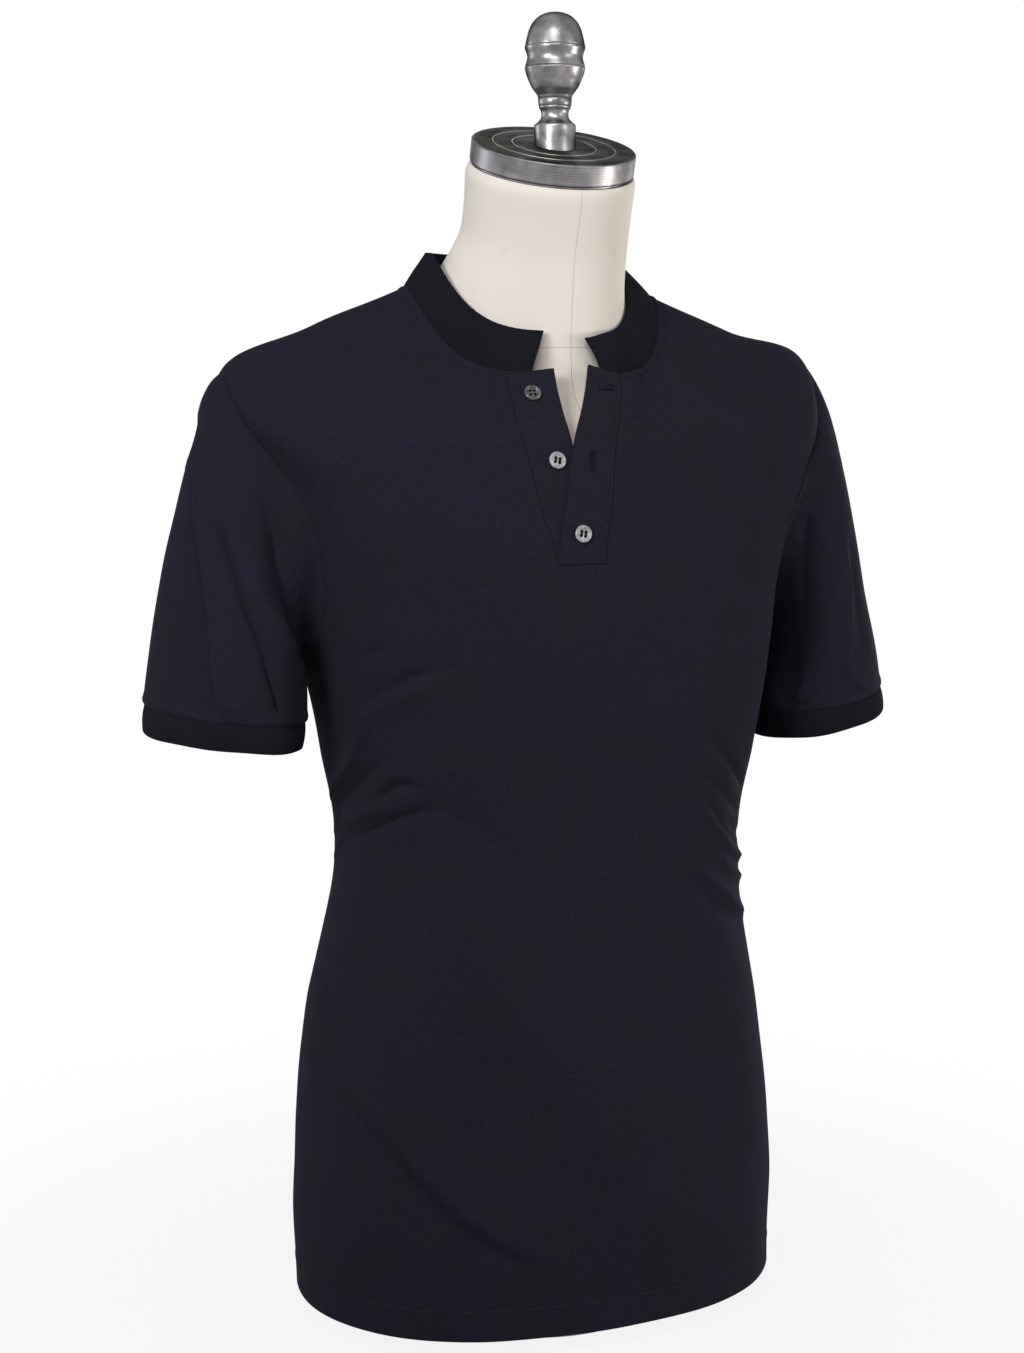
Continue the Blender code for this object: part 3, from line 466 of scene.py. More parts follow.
def new_material(name, roughness, metallic=0.0, **values):
    """A material and its tree; more sockets of its shader are set by name, with _ for a space."""
    material = bpy.data.materials.new(name)
    material.use_nodes = True
    shader = material.node_tree.nodes["Principled BSDF"]
    shader.inputs["Roughness"].default_value = roughness
    shader.inputs["Metallic"].default_value = metallic
    for key, value in values.items():
        shader.inputs[key.replace("_", " ")].default_value = value
    return material, material.node_tree, shader


def new_knit(name, roughness, sheen):
    """A cotton knit's material, matt with a faint nap."""
    return new_material(name, roughness, Sheen_Weight=sheen, Sheen_Roughness=0.5,
                        Sheen_Tint=(0.55, 0.55, 0.70, 1), Specular_IOR_Level=0.01)


def colours(tree, amount, *stops):
    """A colour ramp over (place, colour) stops."""
    ramp = add(tree, "ShaderNodeValToRGB", {"Fac": amount})
    elements = ramp.color_ramp.elements
    while len(elements) < len(stops):
        elements.new(0.5)
    for element, (place, colour) in zip(elements, stops):
        element.position = place
        element.color = (*colour, 1)
    return ramp.outputs["Color"]


MIX_UNDER, MIX_OVER, MIX_RESULT = 6, 7, 2  # a mix node's sockets for colours


def mixed(tree, share, under, over, blend="MIX"):
    """One colour laid over another."""
    inputs = {"Factor": share, MIX_UNDER: under, MIX_OVER: over}
    return add(tree, "ShaderNodeMix", inputs, data_type="RGBA", blend_type=blend).outputs[MIX_RESULT]


def paint(tree, shader, colour):
    tree.links.new(colour, shader.inputs["Base Color"])


def noise(tree, where, scale, detail=2.0, **inputs):
    texture = add(tree, "ShaderNodeTexNoise", {"Vector": where, "Scale": scale, "Detail": detail, **inputs})
    return texture.outputs["Fac"]


def bands(tree, where, direction, scale, **inputs):
    inputs = {"Vector": where, "Scale": scale, **inputs}
    return add(tree, "ShaderNodeTexWave", inputs, bands_direction=direction).outputs["Fac"]


def bumped(tree, shader, height, strength, distance, under=None):
    """Lays a bump on the shader, over another bump if one is given, and returns its output."""
    inputs = {"Height": height, "Strength": strength, "Distance": distance}
    if under:
        inputs["Normal"] = under
    bump = add(tree, "ShaderNodeBump", inputs)
    tree.links.new(bump.outputs["Normal"], shader.inputs["Normal"])
    return bump.outputs["Normal"]


def cloth_place(tree):
    """The cloth's own flat coordinates, in metres."""
    return add(tree, "ShaderNodeUVMap", uv_map="cloth").outputs[0]


def knit_loops(tree, pitch_across, pitch_up, randomness, turn=0.0):
    """Distances from the middles of a knit's loops, over the cloth's flat coordinates."""
    scale = (1 / pitch_across, 1 / pitch_up, 1)
    inputs = {"Vector": cloth_place(tree), "Scale": scale, "Rotation": (0, 0, turn)}
    place = add(tree, "ShaderNodeMapping", inputs).outputs[0]
    inputs = {"Vector": place, "Scale": 1.0, "Randomness": randomness}
    return add(tree, "ShaderNodeTexVoronoi", inputs, voronoi_dimensions="2D").outputs["Distance"]


def make_pique():
    """Dark navy pique: a diamond lattice of small dimples, a slightly uneven dye and a soft cotton nap."""
    material, tree, shader = new_knit("pique", 0.90, sheen=0.03)
    place = piece_place(tree)
    fibre = noise(tree, place, 1050.0)
    base = colours(tree, noise(tree, place, 26.0, 5.0), (0.36, (0.0160, 0.0151, 0.0215)),
                   (0.52, (0.0160, 0.0147, 0.0235)), (0.66, (0.0163, 0.0146, 0.0275)))
    heather = colours(tree, fibre, (0.32, (0.76, 0.76, 0.78)), (0.70, (1.28, 1.28, 1.25)))
    paint(tree, shader, mixed(tree, 1.0, base, heather, "MULTIPLY"))
    under = bumped(tree, shader, knit_loops(tree, 1.15 * MM, 1.15 * MM, 0.25, math.pi / 4), 0.55, 0.35 * MM)
    bumped(tree, shader, fibre, 0.25, 0.15 * MM, under)
    return material


RIB_BANDS = math.tau / 20 / RIB_PITCH  # the scale at which a band texture's period is a rib's pitch


def make_rib():
    """Near-black rib knit: fine courses across the ribs, and stripes at the ribs' pitch that paint their
    light and shade.
    """
    material, tree, shader = new_knit("rib", 0.92, sheen=0.02)
    dye = noise(tree, piece_place(tree), 30.0, 4.0)
    base = colours(tree, dye, (0.30, (0.0100, 0.0095, 0.0136)), (0.70, (0.0140, 0.0132, 0.0190)))
    # painted shade: light and dark stripes at the ribs' pitch stand in for the light and shade on the ribs'
    # relief
    painted_rib_shade = bands(tree, cloth_place(tree), "X", RIB_BANDS)
    ribs = colours(tree, painted_rib_shade, (0.20, (0.78, 0.78, 0.78)), (0.75, (1.04, 1.04, 1.04)))
    paint(tree, shader, mixed(tree, 1.0, base, ribs, "MULTIPLY"))
    bumped(tree, shader, knit_loops(tree, 0.95 * MM, 0.80 * MM, 0.3), 0.5, 0.3 * MM)
    return material


def make_thread(name, colour):
    """Spun sewing thread."""
    material, tree, shader = new_material(name, 0.7, Specular_IOR_Level=0.05)
    twist = noise(tree, piece_place(tree), 2600.0, 1.0)
    dark = tuple(0.7 * part for part in colour)
    paint(tree, shader, colours(tree, twist, (0.35, dark), (0.65, colour)))
    bumped(tree, shader, twist, 0.4, 0.08 * MM)
    return material


def make_shell(name, dark, light):
    """Button blank with soft cloudy veins and a polished face."""
    material, tree, shader = new_material(
        name, 0.30, Coat_Weight=0.3, Coat_Roughness=0.10, Specular_IOR_Level=0.3)
    place = piece_place(tree)
    veins = noise(tree, place, 190.0, 3.0, Distortion=1.2)
    paint(tree, shader, colours(tree, veins, (0.30, dark), (0.70, light)))
    bumped(tree, shader, noise(tree, place, 900.0), 0.04, 0.05 * MM)
    return material


def line_mask(tree, aside, half_width):
    """1 on a line and 0 beside it, from the distance to it on either side."""
    return ranged(tree, maths(tree, "ABSOLUTE", aside), 0.4 * half_width, half_width, 1.0, 0.0)


NECK_LINE = 0.674  # height of the line sewn round the form's neck
DARKER_FROM, DARKER_TO = 0.665, 0.600  # heights between which the canvas grows darker and browner towards the bottom


def make_canvas():
    """Cream canvas stretched over the form: a plain weave, faint handling marks and fine sewn panel lines."""
    material, tree, shader = new_material("canvas", 0.85, Sheen_Weight=0.05, Specular_IOR_Level=0.2)
    place = piece_place(tree)
    parts = add(tree, "ShaderNodeSeparateXYZ", {"Vector": place}).outputs
    cloudy = noise(tree, place, 9.0, 5.0)
    stain = noise(tree, place, 22.0, 3.0, Distortion=0.6)
    base = colours(tree, cloudy, (0.30, (0.715, 0.660, 0.598)), (0.70, (0.765, 0.712, 0.655)))
    soiled = colours(tree, stain, (0.62, (1, 1, 1)), (0.80, (0.93, 0.88, 0.80)))
    # the canvas grows darker and browner towards the bottom, between these heights
    darker_below = maths(tree, "MULTIPLY", ranged(tree, parts["Z"], DARKER_FROM, DARKER_TO), cloudy)
    toned = mixed(tree, darker_below, mixed(tree, 1.0, base, soiled, "MULTIPLY"), (0.46, 0.37, 0.29, 1))
    seam = line_mask(tree, parts["X"], 0.55 * MM)
    thread = line_mask(tree, maths(tree, "SUBTRACT", parts["Z"], NECK_LINE), 0.45 * MM)
    lines = maths(tree, "MAXIMUM", seam, thread)
    paint(tree, shader, mixed(tree, maths(tree, "MULTIPLY", lines, 0.20), toned, (0.30, 0.25, 0.20, 1)))
    warp, weft = (bands(tree, place, direction, 260.0, Distortion=1.2, Detail=1.0) for direction in "XZ")
    under = bumped(tree, shader, maths(tree, "ADD", warp, weft), 0.25, 0.12 * MM)
    bumped(tree, shader, maths(tree, "SUBTRACT", 1.0, lines), 0.6, 0.4 * MM, under)
    return material


def cap_place(tree):
    """Coordinates with Z along the leaning cap's axis."""
    inputs = {"Vector": piece_place(tree), "Location": tuple(NECK_TOP), "Rotation": (NECK_TILT, 0, 0)}
    return add(tree, "ShaderNodeMapping", inputs, vector_type="TEXTURE").outputs[0]


def make_spun_metal(name, dark, light, edge, across):
    """Spun metal with fine turning lines: rings on a flat face, or level lines on a rim."""
    material, tree, shader = new_material(name, 0.32, 1.0, Specular_Tint=(edge, edge, edge, 1))
    place = cap_place(tree)
    parts = add(tree, "ShaderNodeSeparateXYZ", {"Vector": place}).outputs
    flat = add(tree, "ShaderNodeCombineXYZ", {"X": parts["X"], "Y": parts["Y"]})
    line = length(tree, flat.outputs[0]) if across else parts["Z"]
    inputs = {"W": line, "Scale": 1500.0, "Detail": 3.0}
    fine = add(tree, "ShaderNodeTexNoise", inputs, noise_dimensions="1D").outputs["Fac"]
    smudge = noise(tree, place, 60.0, 5.0, Distortion=0.8)
    tone = maths(tree, "MULTIPLY", maths(tree, "ADD", fine, smudge), 0.5)
    paint(tree, shader, colours(tree, tone, (0.35, dark), (0.65, light)))
    tree.links.new(ranged(tree, smudge, 0.0, 1.0, 0.22, 0.46), shader.inputs["Roughness"])
    bumped(tree, shader, fine, 0.18, 0.12 * MM)
    return material


def make_cast_metal():
    """Cast and polished metal, a little pitted and tarnished."""
    material, tree, shader = new_material("cast_metal", 0.3, 1.0, Specular_Tint=(0.10, 0.10, 0.11, 1))
    place = piece_place(tree)
    tarnish = noise(tree, place, 70.0, 6.0, Distortion=0.5)
    paint(tree, shader, colours(tree, tarnish, (0.32, (0.11, 0.105, 0.11)), (0.50, (0.20, 0.195, 0.195)),
                                (0.70, (0.32, 0.315, 0.30))))
    tree.links.new(ranged(tree, tarnish, 0.0, 1.0, 0.42, 0.22), shader.inputs["Roughness"])
    hammered = bumped(tree, shader, noise(tree, place, 120.0), 0.25, 0.6 * MM)
    bumped(tree, shader, noise(tree, place, 650.0, 3.0), 0.15, 0.1 * MM, hammered)
    return material


# ---------------------------------------------------------------- sections of the body


def ring_sizes(rings, at):
    """Every size of the rings at fractional places in their table, on a smooth cubic through the rows."""
    table = np.array([ring[1:] for ring in rings], float)
    last = len(table) - 1
    low = np.clip(at.astype(int), 0, last - 1)
    before, start, end, after = (table[np.clip(low + step, 0, last)] for step in (-1, 0, 1, 2))
    slope_start = np.where((low == 0)[..., None], end - start, (end - before) / 2)
    slope_end = np.where((low == last - 1)[..., None], end - start, (after - start) / 2)
    return cubic((at - low)[..., None], start, slope_start, end, slope_end)


def ring_points(rings, at, angle):
    """Points of the surface through the rings."""
    at, angle = np.broadcast_arrays(np.asarray(at, float), np.asarray(angle, float))
    sizes = np.moveaxis(ring_sizes(rings, at), -1, 0)
    z_side, z_front, z_back, lean, half_width, x_side, x_front, y_side, y_front, y_back, square = sizes
    across, forward = np.cos(angle), np.sin(angle)
    ahead = forward > 0
    x_mid = np.where(ahead, x_front, x_side)
    y_mid = np.where(ahead, y_front, y_back)
    z_mid = np.where(ahead, z_front, z_back)
    swell = 1 + square * np.sin(2 * angle) ** 2
    fall = 1 - (1 - abs(forward) ** 1.5) ** 2.2
    return np.stack((
        x_side + (x_mid - x_side) * forward**2 + half_width * across * swell,
        y_side + (y_mid - y_side) * abs(forward) * swell,
        z_side + (z_mid - z_side) * fall - lean * across,
    ), -1)


def ring_normals(rings, at, angle):
    """Outward normals of the surface through the rings."""
    step = 0.004
    at, angle = np.broadcast_arrays(np.asarray(at, float), np.asarray(angle, float))
    low, high = np.clip(at - step, 0, None), np.clip(at + step, None, len(rings) - 1)
    up = ring_points(rings, high, angle) - ring_points(rings, low, angle)
    round_it = ring_points(rings, at, angle + step) - ring_points(rings, at, angle - step)
    return unit(np.cross(up, round_it))


SHARPNESS = 1.35  # of the creases' crests: 2 is round and 1 is a sharp edge
CREASE_REACH = 2.6  # how many flanks' widths away a crease is still laid


def crease_lift(creases, paths, points, normals):
    """How far the creases, which lie along these paths, move the points out."""
    lift = np.zeros(points.shape[:-1])
    for crease, path in zip(creases, paths):
        reach = CREASE_REACH * MM * max(crease.left, crease.right)
        inside = np.all((points > path.min(0) - reach) & (points < path.max(0) + reach), axis=-1)
        if not inside.any():
            continue
        near, outward = points[inside], normals[inside]
        offsets = near[:, None, :] - path[None]
        nearest = (offsets**2).sum(-1).argmin(1)
        offset = offsets[np.arange(len(near)), nearest]
        ahead = unit(np.gradient(path, axis=0))[nearest]
        offset = offset - ahead * (offset * ahead).sum(-1, keepdims=True)
        left = (outward * np.cross(ahead, offset)).sum(-1) > 0
        beside = np.linalg.norm(offset, axis=-1) / (MM * np.where(left, crease.left, crease.right))
        along = nearest / (len(path) - 1)
        fade = smooth_step(along / max(crease.fade_in, 1e-6))
        fade = fade * smooth_step((1 - along) / max(crease.fade_out, 1e-6))
        lift[inside] += crease.height * MM * np.exp(-(beside**SHARPNESS)) * fade
    return lift


def body_path(crease):
    """The points of the body's surface under a crease."""
    places = smooth_path(crease.path)
    rows = np.linspace(0, NECKLINE, 400)
    at = [np.interp(up, ring_points(SHIRT, rows, math.radians(turn))[:, 2], rows) for turn, up in places]
    return ring_points(SHIRT, at, np.radians(places[:, 0]))


BODY_PATHS = [body_path(crease) for crease in BODY_CREASES]

# Broad, shallow unevenness of the hanging cloth: how many waves per metre along x, y and z, where they start,
# and their height in mm.
Wave = namedtuple("Wave", "x y z start height")
WAVES = (
    Wave(6.1, 4.3, 3.7, 0.4, 0.50),
    Wave(-4.7, 7.9, 5.3, 2.1, 0.40),
    Wave(9.7, -3.1, 7.3, 4.0, 0.28),
    Wave(3.3, 9.1, -11.9, 1.2, 0.22),
    Wave(-14.3, 6.7, 9.1, 5.2, 0.14),
    Wave(12.1, 13.7, 17.9, 3.1, 0.09),
)


def unevenness(points):
    x, y, z = np.moveaxis(points, -1, 0)
    return sum(
        MM * wave.height * np.sin(math.tau * (wave.x * x + wave.y * y + wave.z * z) + wave.start)
        for wave in WAVES
    )


def neck_seam_lift(depth):
    """The seam allowance under the neckline: a low flat ridge that ends at its topstitching."""
    ridge = 0.95 * smooth_step((NECK_SEAM_WIDTH + 0.6 * MM - depth) / (1.6 * MM))
    groove = 0.45 * bell(depth - NECK_SEAM_WIDTH - 0.4 * MM, 0.8 * MM)
    return MM * (ridge - groove - 1.1 * bell(depth, 1.0 * MM))


def on_shirt(at, angle, out=0.0, sewn=True):
    """Points of the shirt's body with its creases, moved out by this much."""
    at, angle, out = np.broadcast_arrays(*(np.asarray(value, float) for value in (at, angle, out)))
    points, normals = ring_points(SHIRT, at, angle), ring_normals(SHIRT, at, angle)
    lift = crease_lift(BODY_CREASES, BODY_PATHS, points, normals) + unevenness(points)
    if sewn:
        depth = np.linalg.norm(points - ring_points(SHIRT, NECKLINE, angle), axis=-1)
        lift = lift + neck_seam_lift(depth)
    return points + normals * (lift + out)[..., None]


def edge_angle(edge, at, further=0.0):
    """The angle of an edge on the front, moved this much further towards the wearer's left."""
    at = np.asarray(at, float)
    share = np.clip((at - PLACKET_FOOT) / (NECKLINE - PLACKET_FOOT), 0, 1)
    distance = edge.foot + (edge.top - edge.foot) * share + edge.bend * 4 * share * (1 - share)
    return math.pi / 2 - (distance + further) / ring_sizes(SHIRT, at)[..., HALF_WIDTH]


def armhole_angle(at):
    share = np.clip((np.asarray(at, float) - UNDERARM) / (SHOULDER_TIP - UNDERARM), 0, 1)
    return ARMHOLE * np.sin(math.pi * share) ** 0.5


# ---------------------------------------------------------------- meshes


def grid_mesh(name, points, across, up, closed=False, skip=None):
    """A mesh of quads over a grid of points, with the cloth's flat coordinates in a UV map named cloth."""
    rows, columns = points.shape[:2]
    cells = columns if closed else columns - 1
    r, c = np.meshgrid(np.arange(rows - 1), np.arange(cells), indexing="ij")
    keep = np.ones(r.shape, bool) if skip is None else ~skip[: rows - 1, :cells]
    r, c = r[keep], c[keep]
    corners = [(r, c), (r, c + 1), (r + 1, c + 1), (r + 1, c)]
    faces = np.stack([row * columns + column % columns for row, column in corners], -1)
    mesh = bpy.data.meshes.new(name)
    mesh.from_pydata(points.reshape(-1, 3).tolist(), [], faces.tolist())
    flat = [np.stack((across[row, column], up[row, column % columns]), -1) for row, column in corners]
    mesh.uv_layers.new(name="cloth").data.foreach_set("uv", np.stack(flat, 1).reshape(-1))
    if skip is not None:
        with editing(mesh) as bm:
            bmesh.ops.delete(bm, geom=[vert for vert in bm.verts if not vert.link_faces], context="VERTS")
    mesh.shade_smooth()
    return mesh


def close_up(mesh):
    """Welds the grid's first row to its last, caps open ends and points the faces outwards."""
    with editing(mesh) as bm:
        bmesh.ops.remove_doubles(bm, verts=bm.verts, dist=0.01 * MM)
        bmesh.ops.holes_fill(bm, edges=[edge for edge in bm.edges if edge.is_boundary])
        bmesh.ops.recalc_face_normals(bm, faces=bm.faces)
    mesh.shade_smooth()


def lengths(points, axis):
    """Running length along the rows or the columns of a grid."""
    steps = np.linalg.norm(np.diff(points, axis=axis), axis=-1)
    start = np.zeros_like(np.take(steps, [0], axis))
    return np.concatenate((start, np.cumsum(steps, axis)), axis)


def wall(piece, thick, rounding=0.15 * MM):
    """Gives an open surface its thickness, half on each side, and rounds its cut edges."""
    solid = piece.modifiers.new("wall", "SOLIDIFY")
    solid.thickness = thick
    solid.offset = 0
    edge = piece.modifiers.new("rounding", "BEVEL")
    edge.width = rounding
    edge.segments = 2
    edge.limit_method = "ANGLE"
    edge.angle_limit = math.radians(55)
    return piece


END_SHARES = np.array((0.0, 0.0016, 0.0036, 0.0062, 0.0100))  # the close columns where a seam rolls under
GATHER = 0.07  # how strongly a panel's columns gather round a place; 0 is evenly


def fine_ended(count, closest):
    """Shares from 0 to 1, closest round this place, with a few close ones at each end."""
    even = np.linspace(0, 1, count)
    gathered = even - GATHER * (np.sin(math.tau * (even - closest)) + math.sin(math.tau * closest))
    middle = END_SHARES[-1] + (1 - 2 * END_SHARES[-1]) * gathered
    return np.concatenate((END_SHARES[:-1], middle, 1 - END_SHARES[-2::-1]))


def between(start, end, shares):
    """Rows of values between each row's start and end."""
    return start[:, None] + (end - start)[:, None] * shares[None]


# ---------------------------------------------------------------- front and back

# Places of a panel's rows in the shirt's rings, closest at the hem's stitches, the creases and the neckline.
BODY_ROWS = np.concatenate((
    np.linspace(0.009, 0.20, 6), np.linspace(0.21, 0.33, 19), np.linspace(0.36, 1, 17)[:-1],
    np.linspace(1, 2.6, 46)[:-1], np.linspace(2.6, 5, 92)[:-1], np.linspace(5, 8, 62)[:-1],
    np.linspace(8, 9, 20)[:-1], np.linspace(9, 9.75, 15)[:-1], np.linspace(9.75, 10, 17),
))
FIRST_RISE = SHIRT[1].z_side - SHIRT[0].z_side  # between the two lowest rings
INNER_ROWS = 8  # of the turned-up ply
OUTER = -0.2 * MM  # rows that lie further in than this are the turned-up ply's


def hem_rows():
    """Places and distances out of a panel's rows: the turned-up ply, the hem's fold, then the outside."""
    radius = HEM_PLY / 2
    fold = np.radians([60, 30, 0, -30, -60])
    inner = np.linspace(HEM_DEPTH, radius, INNER_ROWS) / FIRST_RISE
    at = np.concatenate((inner, radius * (1 - np.cos(fold)) / FIRST_RISE, BODY_ROWS))
    out = np.concatenate((
        np.full(INNER_ROWS, -HEM_PLY), -radius * (1 + np.sin(fold)), np.zeros(len(BODY_ROWS)),
    ))
    return at, out


def hem_lift(points, out):
    """The topstitched top of the hem, pressed in a little between two low ridges."""
    up = points[..., 2] - SHIRT[0].z_side - HEM_DEPTH
    ridge = 0.34 * bell(up + 1.1 * MM, 0.9 * MM) + 0.10 * smooth_step(-up / (2 * MM))
    groove = 0.16 * bell(up - 0.6 * MM, 0.8 * MM)
    return np.where(out[:, None] > OUTER, MM * (ridge - groove), 0.0)


SIDE_ROLL = 0.05 * MM  # how far a side seam or an armhole dips
SLIT_ROLL = 0.75 * MM  # and how far the placket slit's edges do


def panel_start(at):
    """The angle from the side at which a panel starts: at the armhole, or half a seam from the side line."""
    sizes = ring_sizes(SHIRT, at)
    seam = np.where(at < SHOULDER_TIP, SEAM, RIDGE_SEAM)
    return np.maximum(armhole_angle(at), seam / 2 / (sizes[:, Y_SIDE] - sizes[:, Y_FRONT]))


def panel(name, angles, at, out, skip=None):
    """A front or back from its rows' angles; its long edges and those of a skipped slit roll under."""
    base = on_shirt(at[:, None], angles, out[:, None])
    normals = ring_normals(SHIRT, at[:, None], angles)
    run = lengths(base, 1)
    lift = hem_lift(base, out) - SIDE_ROLL * (bell(run, 0.9 * MM) + bell(run[:, -1:] - run, 0.9 * MM))
    if skip is not None:
        slit = np.flatnonzero(skip[-1])
        for column in (slit[0], slit[-1] + 1):
            aside = np.linalg.norm(base - base[:, [column]], axis=-1)
            lift = lift - SLIT_ROLL * bell(aside, 1.1 * MM) * (at[:, None] >= PLACKET_FOOT)
    points = base + normals * lift[..., None]
    up = np.where(out > OUTER, 1, -1)[:, None] * (points[..., 2] - points[:, :1, 2].min())
    mesh = grid_mesh(name, points, lengths(points, 1), up, skip=skip)
    return wall(new_piece(name, mesh, PIQUE), KNIT)


def make_front():
    at, out = hem_rows()
    start = panel_start(at)
    left = between(start, edge_angle(SLIT_LEFT, at, SEAM / 2), fine_ended(66, 0.45))
    right = between(edge_angle(SLIT_RIGHT, at, -SEAM / 2), math.pi - start, fine_ended(66, 0.75))
    slit = between(left[:, -1], right[:, 0], np.linspace(0, 1, 9)[1:-1])
    angles = np.hstack((left, slit, right))
    skip = np.zeros(angles.shape, bool)
    skip[at >= PLACKET_FOOT, left.shape[1] - 1 : left.shape[1] + slit.shape[1]] = True
    return panel("front_cloth", angles, at, out, skip)


def make_back():
    at, out = hem_rows()
    start = panel_start(at)
    return panel("back_cloth", -between(math.pi - start, start, fine_ended(126, 0.50)), at, out)


# ---------------------------------------------------------------- placket

STRIP_ROWS, STRIP_COLUMNS = 64, 14
UNDER_FOOT = PLACKET_FOOT + 0.012  # where the button strip starts, just over the slit's foot
OVER_FOOT = PLACKET_FOOT - 0.06  # and the buttonhole strip, sewn on below it


def make_strip(name, left, right, first, out, corner):
    """A folded strip; its free corner at the neckline stands up by this height, at its left edge if negative.

    One that lies on the front is pressed down along its foot and its sewn edge.
    """
    at = np.linspace(first, NECKLINE, STRIP_ROWS)
    angles = between(edge_angle(left, at), edge_angle(right, at), np.linspace(0, 1, STRIP_COLUMNS))
    at = at[:, None]
    points = on_shirt(at, angles, out, sewn=False)
    normals = ring_normals(SHIRT, at, angles)
    across, up = lengths(points, 1), lengths(points, 0)
    if out:
        pressed = bell(up, 9 * MM) + 0.9 * bell(across, 3 * MM)
        points -= normals * (STRIP_SINK * np.minimum(pressed, 1.0))[..., None]
    free = across / across[:, -1:]
    if corner < 0:
        free = 1 - free
    near_top = smooth_step(1 - (up[-1:] - up) / (14 * MM))
    points[..., 2] += abs(corner) * free**1.5 * near_top
    edge = np.minimum(across, across[:, -1:] - across)
    points -= normals * (0.25 * MM * bell(edge, 1.4 * MM))[..., None]
    return wall(new_piece(name, grid_mesh(name, points, across, up), PIQUE), STRIP_THICK, 0.45 * MM)


def make_strips():
    sewn = Edge(SLIT_RIGHT.foot + SEAM / 2, SLIT_RIGHT.top + SEAM / 2, SLIT_RIGHT.bend)
    button_strip = make_strip(
        "button_strip_cloth", BUTTON_STRIP_FREE, sewn, UNDER_FOOT, 0.0, -3.5 * MM)
    hole_strip = make_strip(
        "hole_strip_cloth", HOLE_STRIP_SEWN, HOLE_STRIP_FREE, OVER_FOOT, STRIP_LIFT, 5.5 * MM)
    return button_strip, hole_strip


# ---------------------------------------------------------------- ribbed band and cuffs

INSIDE_APART = 50 * MM  # sets a rib strip's inside apart from its outside in the flat coordinates


def rib_section(rows):
    """Round a rib strip's section: (share up it, share of the wall's thickness out), up its outside first."""
    outside = [(up, 0.5) for up in np.linspace(0, 1, rows)]
    top = [(1 + 0.5 * math.sin(a), 0.5 * math.cos(a)) for a in np.radians([40, 90, 140])]
    inside = [(up, -0.5) for up in np.linspace(1, 0, 4)]
    return outside + top + inside


def rib_relief(along, pitch, depth, out):
    """Round ribs with narrower valleys between them, standing away from the strip's middle."""
    wave = (0.5 + 0.5 * np.cos(math.tau * along / pitch)) ** 0.7
    return depth * (wave - 0.5) * (1 if out > 0 else -1)


BAND_RUN = 0.49  # the band's length along its ribs' rows
BAND_HEIGHT = 36 * MM
BAND_COLUMNS = 1500
BAND_ALLOWANCE = 4.0 * MM  # how far the band runs on under the body's cloth
BAND_BOW = 2.6 * MM  # how far it bows out at the front
BAND_END_DROP = 3.6 * MM  # how much lower the top of its end on the wearer's left hangs


def band_rows():
    """The band's section, as (share up it, share of its wall out, length below the seam)."""
    section = [(up, out, 0.0) for up, out in rib_section(9)]
    below = ((-0.5, 0.0), (-1.3, 0.5), (-1.5, 1.0), (-0.6, 1.0), (-0.3, 0.5))
    return section[:-1] + [(0.0, out, depth) for out, depth in below] + section[:1]


def make_band():
    """The collar band: a folded rib strip that stands up, then leans in to the neck."""
    shares = np.linspace(0, 1, BAND_COLUMNS)
    rows, heights = [], []
    for up, out, below in band_rows():
        on = min(up, 1.0)
        width = ring_sizes(COLLAR, np.array(on))[HALF_WIDTH]
        right, left = (edge.foot + (edge.top - edge.foot) * on for edge in (BAND_RIGHT_END, BAND_LEFT_END))
        start, end = math.pi / 2 - right / width, math.pi / 2 - left / width + math.tau
        angles = start + (end - start) * shares
        points = ring_points(COLLAR, on, angles)
        normals = ring_normals(COLLAR, on, angles)
        rise = unit(ring_points(COLLAR, 1, angles) - ring_points(COLLAR, 0, angles))
        front = 0.25 + 0.75 * smooth_step(np.sin(angles) * 1.4)
        bow = BAND_BOW * front * math.sin(math.pi * on) ** 0.8 * (1 - 0.35 * on)
        lean = unevenness(points * 2.2) * 0.9 * on
        relief = rib_relief(shares * BAND_RUN, RIB_PITCH, 0.36 * MM, out)
        points = points + normals * (out * RIB_WALL + bow + relief + lean)[:, None]
        points += rise * ((up - on) * RIB_WALL - below * BAND_ALLOWANCE)
        points[:, 2] -= BAND_END_DROP * on * bell((1 - shares) * BAND_RUN, 16 * MM)
        height = up * BAND_HEIGHT + (0 if out > 0 else INSIDE_APART) - below * BAND_ALLOWANCE
        rows.append(points)
        heights.append(np.full(len(shares), height))
    up = np.stack(heights, 0)
    across = np.broadcast_to(shares * BAND_RUN, up.shape)
    mesh = grid_mesh("collar_band_cloth", np.stack(rows, 0), across, up)
    close_up(mesh)
    return new_piece("collar_band_cloth", mesh, RIB)


def cuff_points(sleeve, turn, drop=0.0, wider=0.0):
    """The sleeve's opening, dropped along its axis and widened, on the left side's plan."""
    axis = unit(np.array(sleeve.axis, float))
    outwards = np.array((-axis[2], 0, axis[0]))
    turn, drop, wider = (np.asarray(value, float)[..., None] for value in (turn, drop, wider))
    return (
        np.array(sleeve.end) + axis * drop
        + outwards * (sleeve.half_out + wider) * np.cos(turn)
        + np.array((0, -1, 0)) * (sleeve.half_deep + wider) * np.sin(turn)
    )


COLUMNS_PER_RIB = 5


